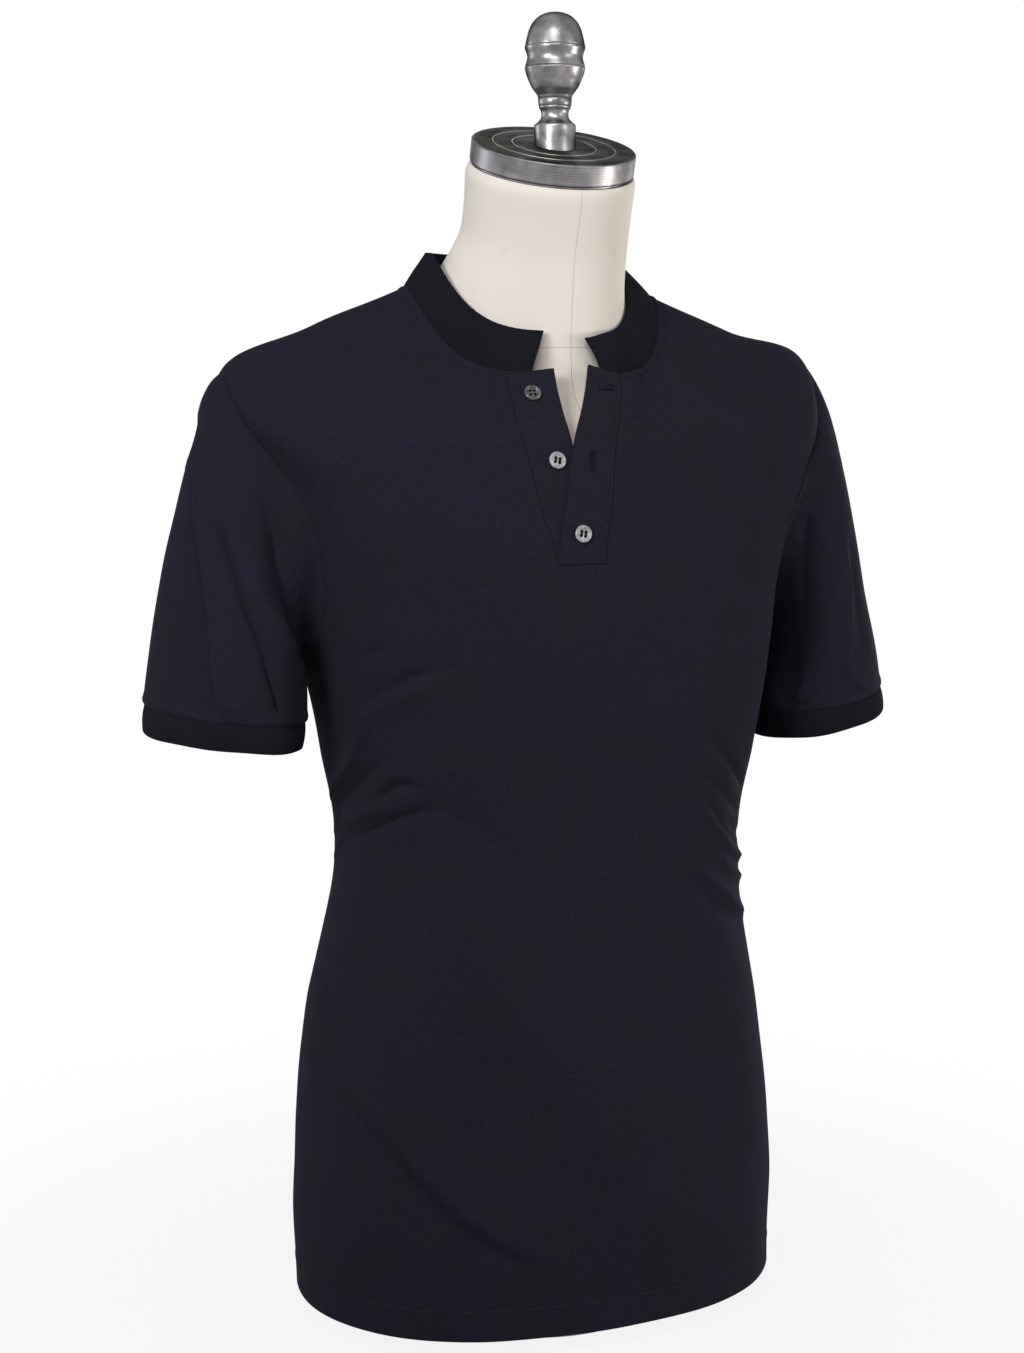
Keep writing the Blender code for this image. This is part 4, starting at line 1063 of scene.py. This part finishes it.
def make_cuff(sleeve):
    """A folded rib cuff sewn under the sleeve's end."""
    girth = math.pi * (sleeve.half_out + sleeve.half_deep)
    ribs = round(girth / (0.9 * RIB_PITCH))
    turns = round_angles(ribs * COLUMNS_PER_RIB)
    along = turns / math.tau * girth
    axis = unit(np.array(sleeve.axis, float))
    rows, ups = [], []
    for up, out in rib_section(7):
        on = min(up, 1)
        drop = SEAM + on * CUFF_HEIGHT + (up - on) * RIB_WALL
        flare = 0.8 * MM * math.sin(math.pi * on) - 0.5 * MM
        wobble = MM * on * (0.7 * np.sin(3 * turns + 1.0) + 0.4 * np.sin(7 * turns))
        wider = out * RIB_WALL + rib_relief(along, girth / ribs, 0.16 * MM, out) + flare + wobble * 0.6
        rows.append(cuff_points(sleeve, turns, drop, wider) + axis * (0.5 * wobble[:, None]))
        ups.append(np.full(len(turns), -up * CUFF_HEIGHT + (0 if out > 0 else INSIDE_APART)))
    points = np.stack(rows + rows[:1], 0) * np.array((sleeve.side, 1, 1))
    up = np.stack(ups + [ups[0] - 3 * MM], 0)
    across = np.broadcast_to(np.append(along, girth), (len(up), len(turns) + 1))
    name = "cuff_%s_cloth" % sleeve.name
    mesh = grid_mesh(name, points, across, up, closed=True)
    close_up(mesh)
    return new_piece(name, mesh, RIB)


# ---------------------------------------------------------------- sleeves


def armhole_rim(sleeve, turn):
    """Points and outward normals of the body's cloth round an armhole, mirrored for the right one."""
    turn = np.asarray(turn, float) % math.tau
    half = np.where(turn > math.pi, math.tau - turn, turn)
    steep, flat = math.radians(72), math.radians(36)  # from ring to ring, above and below the placket's foot
    at = np.where(half < 2 * steep, SHOULDER_TIP - half / steep, PLACKET_FOOT - (half - 2 * steep) / flat)
    angle = armhole_angle(at) * np.where(turn > math.pi, -1, 1)
    angle = angle if sleeve.side > 0 else math.pi - angle
    mirror = np.array((sleeve.side, 1, 1))
    return on_shirt(at, angle) * mirror, ring_normals(SHIRT, at, angle) * mirror


def sleeve_points(sleeve, turn, run):
    """Points of a sleeve's cloth before its creases, on its own side of the body."""
    turn, run = np.broadcast_arrays(np.asarray(turn, float), np.asarray(run, float))
    edge, normal = armhole_rim(sleeve, turn)
    under = (1 - np.cos(turn)) / 2
    leave = unit(np.stack((np.ones_like(turn), -0.15 * np.sin(turn), -0.42 + 1.1 * under), -1))
    across = abs((normal * leave).sum(-1, keepdims=True))
    start = edge + leave * (SEAM + KNIT / 2 * across)
    end = cuff_points(sleeve, turn)
    reach = np.linalg.norm(end - start, axis=-1, keepdims=True)
    arrive = unit(np.array(sleeve.axis, float)) * reach
    points = cubic(run[..., None], start, leave * (0.071 - 0.011 * under[..., None]), end, arrive)
    return points * np.array((sleeve.side, 1, 1))


SLEEVE_COLUMNS = 288
SLEEVE_ROWS = np.concatenate((
    [0, 0.004, 0.009, 0.015], np.linspace(0.023, 0.96, 92), [0.97, 0.978, 0.985, 0.991, 0.996, 1],
))


def make_sleeve(sleeve, creases):
    """A sleeve's cloth: its creases die away at the armhole and at the cuff, where its end rolls under."""
    turns = round_angles(SLEEVE_COLUMNS)
    base = np.stack([sleeve_points(sleeve, turns, run) for run in SLEEVE_ROWS], 0)
    round_it = np.roll(base, -1, 1) - np.roll(base, 1, 1)
    normals = unit(np.cross(round_it, np.gradient(base, axis=0))) * sleeve.side
    normals *= np.sign((normals * (base - base.mean(1, keepdims=True))).sum(-1, keepdims=True))
    paths = []
    for crease in creases:
        places = smooth_path(crease.path)
        paths.append(sleeve_points(sleeve, np.radians(places[:, 0]), np.clip(places[:, 1], 0, 1)))
    run = lengths(base, 0)
    to_cuff = run[-1:] - run
    lift = crease_lift(creases, paths, base, normals)
    lift = lift * smooth_step(run / (6 * MM)) * (0.10 + 0.90 * smooth_step(to_cuff / (12 * MM)))
    lift = lift + unevenness(base) - SIDE_ROLL * bell(run, 1.0 * MM)
    lift = lift + 0.9 * MM * (bell(to_cuff - 3.2 * MM, 3.2 * MM) - bell(to_cuff, 1.1 * MM))
    points = base + normals * lift[..., None]
    name = "sleeve_%s_cloth" % sleeve.name
    across = lengths(points, 1)
    across = np.hstack((across, across[:, -1:] + 3 * MM))
    mesh = grid_mesh(name, points, across, -run, closed=True)
    return wall(new_piece(name, mesh, PIQUE), KNIT)


# ---------------------------------------------------------------- turned and cast pieces

SHARP = math.radians(38)  # edges that turn by more than this stay sharp


def turned(name, profile, material, place, steps=96):
    """A turned piece: a profile of (radius, height) from the axis at the top to the axis at the foot."""
    mesh = bpy.data.meshes.new(name)
    with editing(mesh) as bm:
        verts = [bm.verts.new((radius, 0, height)) for radius, height in profile]
        edges = [bm.edges.new(pair) for pair in zip(verts, verts[1:])]
        bmesh.ops.spin(bm, geom=verts + edges, cent=(0, 0, 0), axis=(0, 0, 1), angle=math.tau, steps=steps)
        bmesh.ops.remove_doubles(bm, verts=bm.verts, dist=0.005 * MM)
        bmesh.ops.recalc_face_normals(bm, faces=bm.faces)
        bmesh.ops.transform(bm, matrix=place, verts=bm.verts)
    mesh.shade_smooth()
    mesh.set_sharp_from_angle(angle=SHARP)
    return new_piece(name, mesh, material)


def smooth_profile(*points):
    return [tuple(point) for point in smooth_path(points, 4)]


def standing_on(point, normal):
    """The place of a piece whose own Z is this normal."""
    normal = Vector(normal)
    side = Vector((0, 0, 1)).cross(normal).normalized()
    matrix = Matrix((side, normal.cross(side), normal)).transposed().to_4x4()
    matrix.translation = point
    return matrix


def plain_mesh(piece):
    """Turns a piece and its modifiers into a plain mesh."""
    evaluated = piece.evaluated_get(bpy.context.evaluated_depsgraph_get())
    mesh = bpy.data.meshes.new_from_object(evaluated)
    piece.modifiers.clear()
    piece.data = mesh
    return piece


# Rows of the neck, as (height over its flat top, radius more than the top's), round the cap's lip.
NECK_RIM = (
    (-0.050, 0.0005), (-0.036, 0.0004), (-0.022, 0.0005), (-0.014, 0.0008), (-0.0085, 0.0010),
    (-0.0050, 0.0010), (-0.0024, 0.0006), (-0.0006, -0.0001), (0.0005, -0.0009), (0.0010, -0.0015),
    (0.0007, -0.0019), (0.0, -0.0022), (0.0, -0.0060),
)
RIM_EVEN = 0.4 * MM  # what the rim is wider than this lies on the wearer's right only
FORM_COLUMNS = 48
FORM_STEPS = 3  # rows of the mesh from ring to ring


def make_form_body():
    """The canvas form, from its rings up to the neck's rounded rim."""
    angles = round_angles(FORM_COLUMNS)
    last = len(FORM) - 1
    rows = [ring_points(FORM, at, angles) for at in np.linspace(0, last, last * FORM_STEPS + 1)]
    side = Vector((1, 0, 0))
    front = -NECK_NORMAL.cross(side)
    for rise, wider in NECK_RIM:
        middle = NECK_TOP + NECK_NORMAL * rise - side * max(wider - RIM_EVEN, 0)
        radius = NECK_TOP_RADIUS + wider
        rows.append(np.array([middle + radius * (side * math.cos(a) + front * math.sin(a)) for a in angles]))
    points = np.stack(rows, 0)
    across, up = np.zeros((len(rows), FORM_COLUMNS + 1)), np.zeros((len(rows), FORM_COLUMNS))
    mesh = grid_mesh("form_canvas", points, across, up, closed=True)
    close_up(mesh)
    piece = new_piece("form_canvas", mesh, CANVAS)
    smooth = piece.modifiers.new("smooth", "SUBSURF")
    smooth.levels = smooth.render_levels = 2
    return piece


# Sections are places out from a line's middle or from the rim, and heights over the plate, in mm.
TURNED_LINES = (0.0280, 0.0410)  # radii of the cap's two turned lines, painted bright as highlights
LINE_SECTION = ((-1.2, 0), (-0.65, -0.30), (-0.42, 0.12), (0.42, 0.12), (0.65, -0.30), (1.2, 0))
RIM_SECTION = ((-1.5, 0), (-0.5, -0.20), (0, -0.8))
CAP_LIP = ((0, 0.0030), (-0.4 * MM, 0.0025), (-1.6 * MM, 0.0021), (-2.0 * MM, 0.0016), (-2.0 * MM, 0))


def make_cap():
    """The spun cap: a plate painted dark as a painted reflection of a dark ceiling, two turned lines painted
    bright as painted highlights, a satin rim and a thin lower lip.
    """
    profile = [(0, CAP_THICK)]
    for radius, section in [(line, LINE_SECTION) for line in TURNED_LINES] + [(CAP_RADIUS, RIM_SECTION)]:
        profile += [(radius + out * MM, CAP_THICK + over * MM) for out, over in section]
    profile += [(CAP_RADIUS + out, height) for out, height in CAP_LIP] + [(0, 0)]
    base = NECK_TOP + CAP_SHIFT + NECK_NORMAL * CLEAR
    piece = turned("cap_metal", profile, CAP_PLATE_PAINTED_REFLECTION, standing_on(base, NECK_NORMAL), 160)
    mesh = piece.data
    mesh.materials.append(CAP_RIM)
    mesh.materials.append(CAP_LINE_PAINTED_HIGHLIGHT)
    for face in mesh.polygons:
        height = (face.center - base).dot(NECK_NORMAL)
        distance = (face.center - base - NECK_NORMAL * height).length
        on_rim = height < CAP_THICK - 0.5 * MM or distance > CAP_RADIUS - 1.2 * MM
        on_line = height > CAP_THICK + 0.05 * MM
        face.material_index = 1 if on_rim else 2 if on_line else 0
    return piece


# The knob's outline from its top to its foot, as (radius, height over the cap).
KNOB_EGG = (
    (0.0002, 0.0863), (0.0052, 0.0857), (0.0104, 0.0836), (0.0147, 0.0796), (0.0173, 0.0748),
    (0.0186, 0.0702), (0.0194, 0.0668), (0.0197, 0.0652),
)
KNOB_RIDGES = (
    (0.0196, 0.0649), (0.0199, 0.0645), (0.0201, 0.0634), (0.0199, 0.0621), (0.0193, 0.0606),
    (0.0187, 0.0590), (0.0184, 0.0574), (0.0185, 0.0556), (0.0189, 0.0540), (0.0195, 0.0526),
    (0.0198, 0.0516), (0.0195, 0.0511), (0.0199, 0.0506), (0.0201, 0.0501),
)
KNOB_WAIST = (
    (0.0200, 0.0496), (0.0194, 0.0470), (0.0186, 0.0445), (0.0176, 0.0422), (0.0165, 0.0396),
    (0.0151, 0.0370), (0.0134, 0.0348), (0.0119, 0.0328),
)
KNOB_RINGS = (
    (0.0115, 0.0321), (0.0113, 0.0309), (0.0109, 0.0305), (0.0112, 0.0300), (0.0111, 0.0280),
    (0.0109, 0.0261), (0.0105, 0.0256), (0.0107, 0.0251), (0.0105, 0.0242), (0.0100, 0.0235),
    (0.0094, 0.0225), (0.0091, 0.0212), (0.0090, 0.0203),
)
KNOB_FOOT = (
    (0.0090, 0.0196), (0.0093, 0.0180), (0.0100, 0.0167), (0.0111, 0.0155), (0.0123, 0.0145),
    (0.0132, 0.0138),
)
KNOB_BASE = ((0.0136, 0.0134), (0.0138, 0.0127), (0.0139, 0.0117), (0.0139, -0.0043), (0, -0.0043))


def make_finial():
    """The cast knob on the cap, its underside cut level with the leaning cap's face."""
    profile = [
        (0, KNOB_EGG[0][1]), *smooth_profile(*KNOB_EGG), *KNOB_RIDGES, *smooth_profile(*KNOB_WAIST),
        *KNOB_RINGS, *smooth_profile(*KNOB_FOOT), *KNOB_BASE,
    ]
    cap_middle = NECK_TOP + CAP_SHIFT + NECK_NORMAL * (CLEAR + CAP_THICK)
    piece = turned("finial_metal", profile, CAST_METAL, Matrix.Translation(cap_middle + FINIAL_SHIFT))
    for vertex in piece.data.vertices:
        height = (vertex.co - cap_middle).dot(NECK_NORMAL)
        if height < 0:
            vertex.co.z -= (height - 0.05 * MM) / NECK_NORMAL.z
    return piece


def make_stand():
    """The column under the form and the foot that it stands on, with their edges taken off."""
    top, bottom, edge = TORSO_BOTTOM - CLEAR, FOOT_THICK + CLEAR, 0.5 * MM
    column = [
        (0, top), (COLUMN_RADIUS - edge, top), (COLUMN_RADIUS, top - edge),
        (COLUMN_RADIUS, bottom + edge), (COLUMN_RADIUS - edge, bottom), (0, bottom),
    ]
    curve, edge = 2.5 * MM, 0.4 * MM
    rounding = [
        (FOOT_RADIUS - curve + curve * math.sin(a), FOOT_THICK - curve + curve * math.cos(a))
        for a in np.linspace(0, math.pi / 2, 7)
    ]
    plate = [(0, FOOT_THICK)] + rounding + [(FOOT_RADIUS, edge), (FOOT_RADIUS - edge, 0), (0, 0)]
    still = Matrix.Identity(4)
    return (
        turned("column_metal", column, CAST_METAL, still),
        turned("foot_metal", plate, CAST_METAL, still, 128),
    )


# ---------------------------------------------------------------- buttons

# The last field gives a button the darker copy of the shell, which paints shade on it.
Button = namedtuple("Button", "name left right lift up across turn smoky")  # the turn is in degrees
BUTTONS = (
    Button("top", BUTTON_STRIP_FREE, SLIT_RIGHT, 0.0, 0.855, 0.560, 4, True),
    Button("middle", BUTTON_STRIP_FREE, SLIT_RIGHT, 0.0, 0.425, 0.43, -16, False),
    Button("bottom", HOLE_STRIP_SEWN, HOLE_STRIP_FREE, STRIP_LIFT, 0.092, 0.565, -12, False),
)
BUTTON_SECTION = (  # shares of its radius and of its thickness
    (0.40, 0.62), (0.56, 0.66), (0.66, 0.88), (0.76, 0.99), (0.86, 0.97),
    (0.96, 0.80), (1, 0.55), (0.94, 0.20), (0.72, 0.0),
)
HOLE_PITCH = 0.255 * BUTTON_RADIUS  # from the middle of the button to a hole's, across and along
HOLE_RADIUS = 0.185 * BUTTON_RADIUS
HOLD_RADIUS = 0.24 * MM  # of the thread that holds a button


def front_place(left, right, up, across, out):
    """A place between two edges of the placket: its point on the front and its outward normal."""
    at = PLACKET_FOOT + (NECKLINE - PLACKET_FOOT) * up
    start, end = edge_angle(left, at), edge_angle(right, at)
    angle = start + (end - start) * across
    return Vector(on_shirt(at, angle, out, sewn=False)), Vector(ring_normals(SHIRT, at, angle))


def make_button(button):
    """A four-hole button with a raised rim and a dished middle, and the thread that holds it."""
    rim = smooth_profile(*((radius * BUTTON_RADIUS, up * BUTTON_THICK) for radius, up in BUTTON_SECTION))
    profile = [(0, BUTTON_SECTION[0][1] * BUTTON_THICK)] + rim + [(0, 0)]
    out = button.lift + STRIP_THICK / 2 + CLEAR
    point, normal = front_place(button.left, button.right, button.up, button.across, out)
    place = standing_on(point, normal) @ Matrix.Rotation(math.radians(button.turn), 4, "Z")
    # painted shade: the top button takes the darker copy of the shell
    material = SHELL_PAINTED_SHADE if button.smoky else SHELL
    piece = turned("button_%s_shell" % button.name, profile, material, place, 64)
    holes = bpy.data.meshes.new("holes")
    with editing(holes) as bm:
        for x in (-HOLE_PITCH, HOLE_PITCH):
            for y in (-HOLE_PITCH, HOLE_PITCH):
                bmesh.ops.create_cone(
                    bm, cap_ends=True, segments=16, radius1=HOLE_RADIUS, radius2=HOLE_RADIUS,
                    depth=3 * BUTTON_THICK, matrix=place @ Matrix.Translation((x, y, 0)))
    cutter = put("holes", holes)
    cut = piece.modifiers.new("holes", "BOOLEAN")
    cut.object = cutter
    plain_mesh(piece)
    bpy.data.objects.remove(cutter)
    piece.data.set_sharp_from_angle(angle=SHARP)
    top = (0.35 if button.smoky else 0.70) * BUTTON_THICK  # the thread of the button with painted shade lies deep in its holes
    arch = (
        (-1.3, -0.2 * BUTTON_THICK), (-1.2, 0.8 * top), (-0.7, top), (0, top), (0.7, top), (1.2, 0.8 * top),
        (1.3, -0.2 * BUTTON_THICK),
    )
    loops = [
        [place @ Vector((x + shift * HOLE_RADIUS, along * HOLE_PITCH, up)) for along, up in arch]
        for x in (-HOLE_PITCH, HOLE_PITCH) for shift in (-0.55, 0.0, 0.55)
    ]
    return piece, thread_piece("button_%s_thread" % button.name, loops, BLACK_THREAD, HOLD_RADIUS)


# ---------------------------------------------------------------- sewing

STITCH_STEP = 2.9 * MM
STITCH_HALF = 1.2 * MM  # half a stitch's length


def geometry_tree(name, *sizes):
    """An empty Geometry Nodes tree and its input's sockets: lines, these sizes and a material."""
    tree = bpy.data.node_groups.new(name, "GeometryNodeTree")
    tree.interface.new_socket("Geometry", in_out="INPUT", socket_type="NodeSocketGeometry")
    for size in sizes:
        tree.interface.new_socket(size, in_out="INPUT", socket_type="NodeSocketFloat")
    tree.interface.new_socket("Material", in_out="INPUT", socket_type="NodeSocketMaterial")
    tree.interface.new_socket("Geometry", in_out="OUTPUT", socket_type="NodeSocketGeometry")
    return tree, tree.nodes.new("NodeGroupInput").outputs


def put_out(tree, geometry, material):
    """Ends a Geometry Nodes tree: what it has made, real and in the piece's material."""
    real = add(tree, "GeometryNodeRealizeInstances", {"Geometry": geometry})
    made = add(tree, "GeometryNodeSetMaterial", {"Geometry": real.outputs["Geometry"], "Material": material})
    tree.links.new(made.outputs["Geometry"], tree.nodes.new("NodeGroupOutput").inputs[0])
    return tree


def make_stitch_tree():
    """Lays a short rounded stitch at every step along each line."""
    tree, given = geometry_tree("topstitching", "Step", "Half", "Radius")
    line = add(tree, "GeometryNodeMeshToCurve", {"Mesh": given["Geometry"]})
    dots = add(tree, "GeometryNodeCurveToPoints", {"Curve": line.outputs["Curve"], "Length": given["Step"]},
               mode="LENGTH")
    grain = add(tree, "GeometryNodeMeshUVSphere", {"Segments": 8, "Rings": 6, "Radius": 1.0})
    size = add(tree, "ShaderNodeCombineXYZ", {"X": given["Radius"], "Y": given["Radius"], "Z": given["Half"]})
    laid = add(tree, "GeometryNodeInstanceOnPoints", {
        "Points": dots.outputs["Points"], "Instance": grain.outputs["Mesh"],
        "Rotation": dots.outputs["Rotation"], "Scale": size.outputs[0]})
    return put_out(tree, laid.outputs["Instances"], given["Material"])


def make_thread_tree():
    """Sweeps a round thread along each line."""
    tree, given = geometry_tree("thread", "Radius")
    line = add(tree, "GeometryNodeMeshToCurve", {"Mesh": given["Geometry"]})
    ring = add(tree, "GeometryNodeCurvePrimitiveCircle", {"Resolution": 6, "Radius": given["Radius"]})
    swept = add(tree, "GeometryNodeCurveToMesh", {
        "Curve": line.outputs["Curve"], "Profile Curve": ring.outputs["Curve"], "Fill Caps": True})
    return put_out(tree, swept.outputs["Mesh"], given["Material"])


def grown(name, lines, tree, **values):
    """A piece that a Geometry Nodes tree makes along open lines of points, as a plain mesh."""
    points, edges = [], []
    for line in lines:
        first = len(points)
        points += [tuple(point) for point in line]
        edges += [(k, k + 1) for k in range(first, len(points) - 1)]
    mesh = bpy.data.meshes.new(name)
    mesh.from_pydata(points, edges, [])
    piece = new_piece(name, mesh, values["Material"])
    nodes = piece.modifiers.new(tree.name, "NODES")
    nodes.node_group = tree
    for item in tree.interface.items_tree:
        if item.in_out == "INPUT" and item.name in values:
            nodes[item.identifier] = values[item.name]
    plain_mesh(piece)
    piece.data.shade_smooth()
    return piece


def thread_piece(name, lines, material, radius):
    return grown(name, lines, THREAD_TREE, Material=material, Radius=radius)


def stitching(name, lines):
    return grown(name, lines, STITCH_TREE, Material=NAVY_THREAD, Step=STITCH_STEP, Half=STITCH_HALF,
                 Radius=THREAD)


def at_height(angle, height):
    """The place in the shirt's rings at this angle and height."""
    rows = np.linspace(0, NECKLINE, 200)
    return np.interp(height, ring_points(SHIRT, rows, angle)[:, 2], rows)


def neck_row(angle, depth):
    """The place in the shirt's rings this far below the neckline."""
    rows = np.linspace(NECKLINE - 1.2, NECKLINE, 120)
    away = np.linalg.norm(ring_points(SHIRT, rows, angle) - ring_points(SHIRT, NECKLINE, angle), axis=-1)
    return np.interp(depth, away[::-1], rows[::-1])


STITCH_OUT = KNIT / 2 + 0.06 * MM  # from the middle of the knit to a stitch on it
HEM_START, NECK_START = 0.02, 0.03  # how far round from a side these seams' stitches start
EDGE_INSET = 1.6 * MM  # of the stitches along a placket strip's sewn edge


def hem_seam(first, last):
    angles = np.linspace(first, last, 240)
    rows = [at_height(angle, SHIRT[0].z_side + HEM_DEPTH) for angle in angles]
    return on_shirt(rows, angles, STITCH_OUT + 0.10 * MM)


def neck_seam(first, last, count):
    angles = np.linspace(float(first), float(last), count)
    return on_shirt([neck_row(angle, NECK_SEAM_WIDTH) for angle in angles], angles, STITCH_OUT)


def strip_seam(edge, inset, first, last, out):
    """A stitch line along a placket edge, inset from it towards the wearer's left."""
    at = np.linspace(first, last, 60)
    return on_shirt(at, edge_angle(edge, at, inset), out, sewn=False)


def level_seam(at, out, sewn_inset=0.0, free_inset=0.0):
    """A stitch line across the upper placket strip, inset from both of its edges."""
    start = edge_angle(HOLE_STRIP_SEWN, at, -sewn_inset)
    end = edge_angle(HOLE_STRIP_FREE, at, free_inset)
    return on_shirt(at, np.linspace(float(start), float(end), 24), out, sewn=False)


def front_seams():
    """Stitch lines on the front: hem, neckline up to the placket's slit, and under the placket's foot."""
    near_top = NECKLINE - 0.2
    return [
        hem_seam(HEM_START, math.pi - HEM_START),
        neck_seam(NECK_START, edge_angle(SLIT_LEFT, near_top, 2 * MM), 90),
        neck_seam(edge_angle(SLIT_RIGHT, near_top, -2 * MM), math.pi - NECK_START, 90),
        level_seam(PLACKET_FOOT - 0.13, STITCH_OUT),
    ]


def back_seams():
    return [
        hem_seam(math.pi + HEM_START, math.tau - HEM_START),
        neck_seam(math.pi + NECK_START, math.tau - NECK_START, 160),
    ]


def placket_seams():
    """Topstitching of both placket strips, with the box at the foot of the upper one."""
    under_out = STRIP_THICK / 2 + 0.05 * MM
    over_out = STRIP_LIFT + under_out
    top = NECKLINE - 0.04
    under = [strip_seam(SLIT_RIGHT, EDGE_INSET, PLACKET_FOOT + 0.1, top, under_out)]
    over = [
        strip_seam(HOLE_STRIP_SEWN, -EDGE_INSET, OVER_FOOT + 0.05, top, over_out),
        level_seam(OVER_FOOT + 0.024, over_out, EDGE_INSET, 1.2 * MM),
    ]
    return under, over


Buttonhole = namedtuple("Buttonhole", "name up across length width turn")  # the turn is in degrees
BUTTONHOLES = (
    Buttonhole("top", 0.900, 0.44, 12.0 * MM, 5.0 * MM, -5),
    Buttonhole("middle", 0.415, 0.52, 15.0 * MM, 3.8 * MM, 82),
)
ZIGZAG_STEP = 0.36 * MM
ZIGZAG_HALF = 0.4 * MM  # half the zigzag's width
ZIGZAG_RADIUS = 0.13 * MM  # of its thread


def buttonhole_lines(hole):
    """A zigzag of thread round the slit of a buttonhole, with round ends, and the two lips of its slit."""
    out = STRIP_LIFT + STRIP_THICK / 2 + 0.10 * MM
    point, normal = front_place(HOLE_STRIP_SEWN, HOLE_STRIP_FREE, hole.up, hole.across, out)
    place = standing_on(point, normal) @ Matrix.Rotation(math.radians(hole.turn), 4, "Z")
    radius = hole.width / 2 - ZIGZAG_HALF
    straight = hole.length - hole.width
    girth = 2 * straight + math.tau * radius
    count = 2 * round(girth / ZIGZAG_STEP)
    zigzag = []
    for k in range(count + 1):
        run = girth * k / count
        reach = radius + (ZIGZAG_HALF if k % 2 else -ZIGZAG_HALF)
        half = run % (girth / 2)
        side = 1 if run % girth < girth / 2 else -1
        turn = max(half - straight, 0) / radius
        x = min(half, straight) - straight / 2 + reach * math.sin(turn)
        zigzag.append((side * x, side * reach * math.cos(turn), 0.0))
    lips = [[(x, y, 0.02 * MM) for x in (-straight / 2, 0, straight / 2)] for y in (-0.35 * MM, 0.35 * MM)]
    return [[place @ Vector(p) for p in line] for line in [zigzag] + lips]


# ---------------------------------------------------------------- the whole

Cut = namedtuple("Cut", "width length area")


def sew_on(piece, slot, *nodes):
    """Puts a finished piece on the frame."""
    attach(piece, "root")
    if nodes:
        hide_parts(*nodes)


def finish_cloth(piece, slot, node, cut, *extras):
    """Puts a cloth piece and what is sewn on it on the frame; the size that it was cut to is not used."""
    sew_on(piece, slot, node)
    for extra in extras:
        sew_on(extra, slot)


make_camera()
make_lamps()
make_world()
make_floor()
bpy.context.scene.view_settings.view_transform = "Standard"

PIQUE, RIB, CANVAS = make_pique(), make_rib(), make_canvas()
SHELL = make_shell("pale_shell", (0.20, 0.20, 0.21), (0.44, 0.44, 0.46))
# painted shade: a darker copy of the pale shell, which paints the top button as catching less light than the
# others
SHELL_PAINTED_SHADE = make_shell("shell_painted_shade", (0.028, 0.027, 0.028), (0.095, 0.092, 0.096))
NAVY_THREAD = make_thread("navy_thread", (0.028, 0.027, 0.040))
BLACK_THREAD = make_thread("black_thread", (0.0045, 0.0045, 0.0050))
# painted reflection: the plate's colour is darkened to stand in for the dark ceiling that it reflects
CAP_PLATE_PAINTED_REFLECTION = make_spun_metal("cap_plate_painted_reflection", (0.10, 0.10, 0.095), (0.23, 0.228, 0.217), 0.16, across=True)
# painted highlight: the turned lines take a much lighter copy of the plate's spun metal
CAP_LINE_PAINTED_HIGHLIGHT = make_spun_metal("cap_line_painted_highlight", (0.22, 0.215, 0.205), (0.58, 0.57, 0.55), 0.30, across=True)
CAP_RIM = make_spun_metal("cap_rim", (0.12, 0.115, 0.118), (0.27, 0.262, 0.268), 0.22, across=False)
CAST_METAL = make_cast_metal()
STITCH_TREE, THREAD_TREE = make_stitch_tree(), make_thread_tree()

sew_on(make_form_body(), "canvas", "form_body")
sew_on(make_cap(), "metal", "form_cap")
sew_on(make_finial(), "metal", "form_finial")
column, foot = make_stand()
sew_on(column, "metal", "form_column")
sew_on(foot, "metal", "form_foot")

finish_cloth(make_front(), "pique", "front", Cut(0.54, 0.72, 0.300),
             stitching("front_stitches", front_seams()))
finish_cloth(make_back(), "pique", "back", Cut(0.54, 0.74, 0.320),
             stitching("back_stitches", back_seams()))
for sleeve, creases in ((RIGHT_SLEEVE, RIGHT_SLEEVE_CREASES), (LEFT_SLEEVE, LEFT_SLEEVE_CREASES)):
    finish_cloth(make_sleeve(sleeve, creases), "pique", "sleeve_" + sleeve.name, Cut(0.42, 0.22, 0.052))
    finish_cloth(make_cuff(sleeve), "rib", "cuff_" + sleeve.name, Cut(0.36, 0.018, None))
finish_cloth(make_band(), "rib", "collar_band", Cut(0.49, 0.034, None))

under, over = placket_seams()
holes = [line for hole in BUTTONHOLES for line in buttonhole_lines(hole)]
button_strip, hole_strip = make_strips()
finish_cloth(button_strip, "pique", "button_strip", Cut(0.030, 0.148, None),
             stitching("under_strip_stitches", under))
finish_cloth(hole_strip, "pique", "hole_strip", Cut(0.030, 0.148, None),
             stitching("over_strip_stitches", over),
             thread_piece("buttonholes", holes, BLACK_THREAD, ZIGZAG_RADIUS))
for button in BUTTONS:
    shell, thread = make_button(button)
    sew_on(shell, "shell", "button_" + button.name)
    sew_on(thread, "shell")
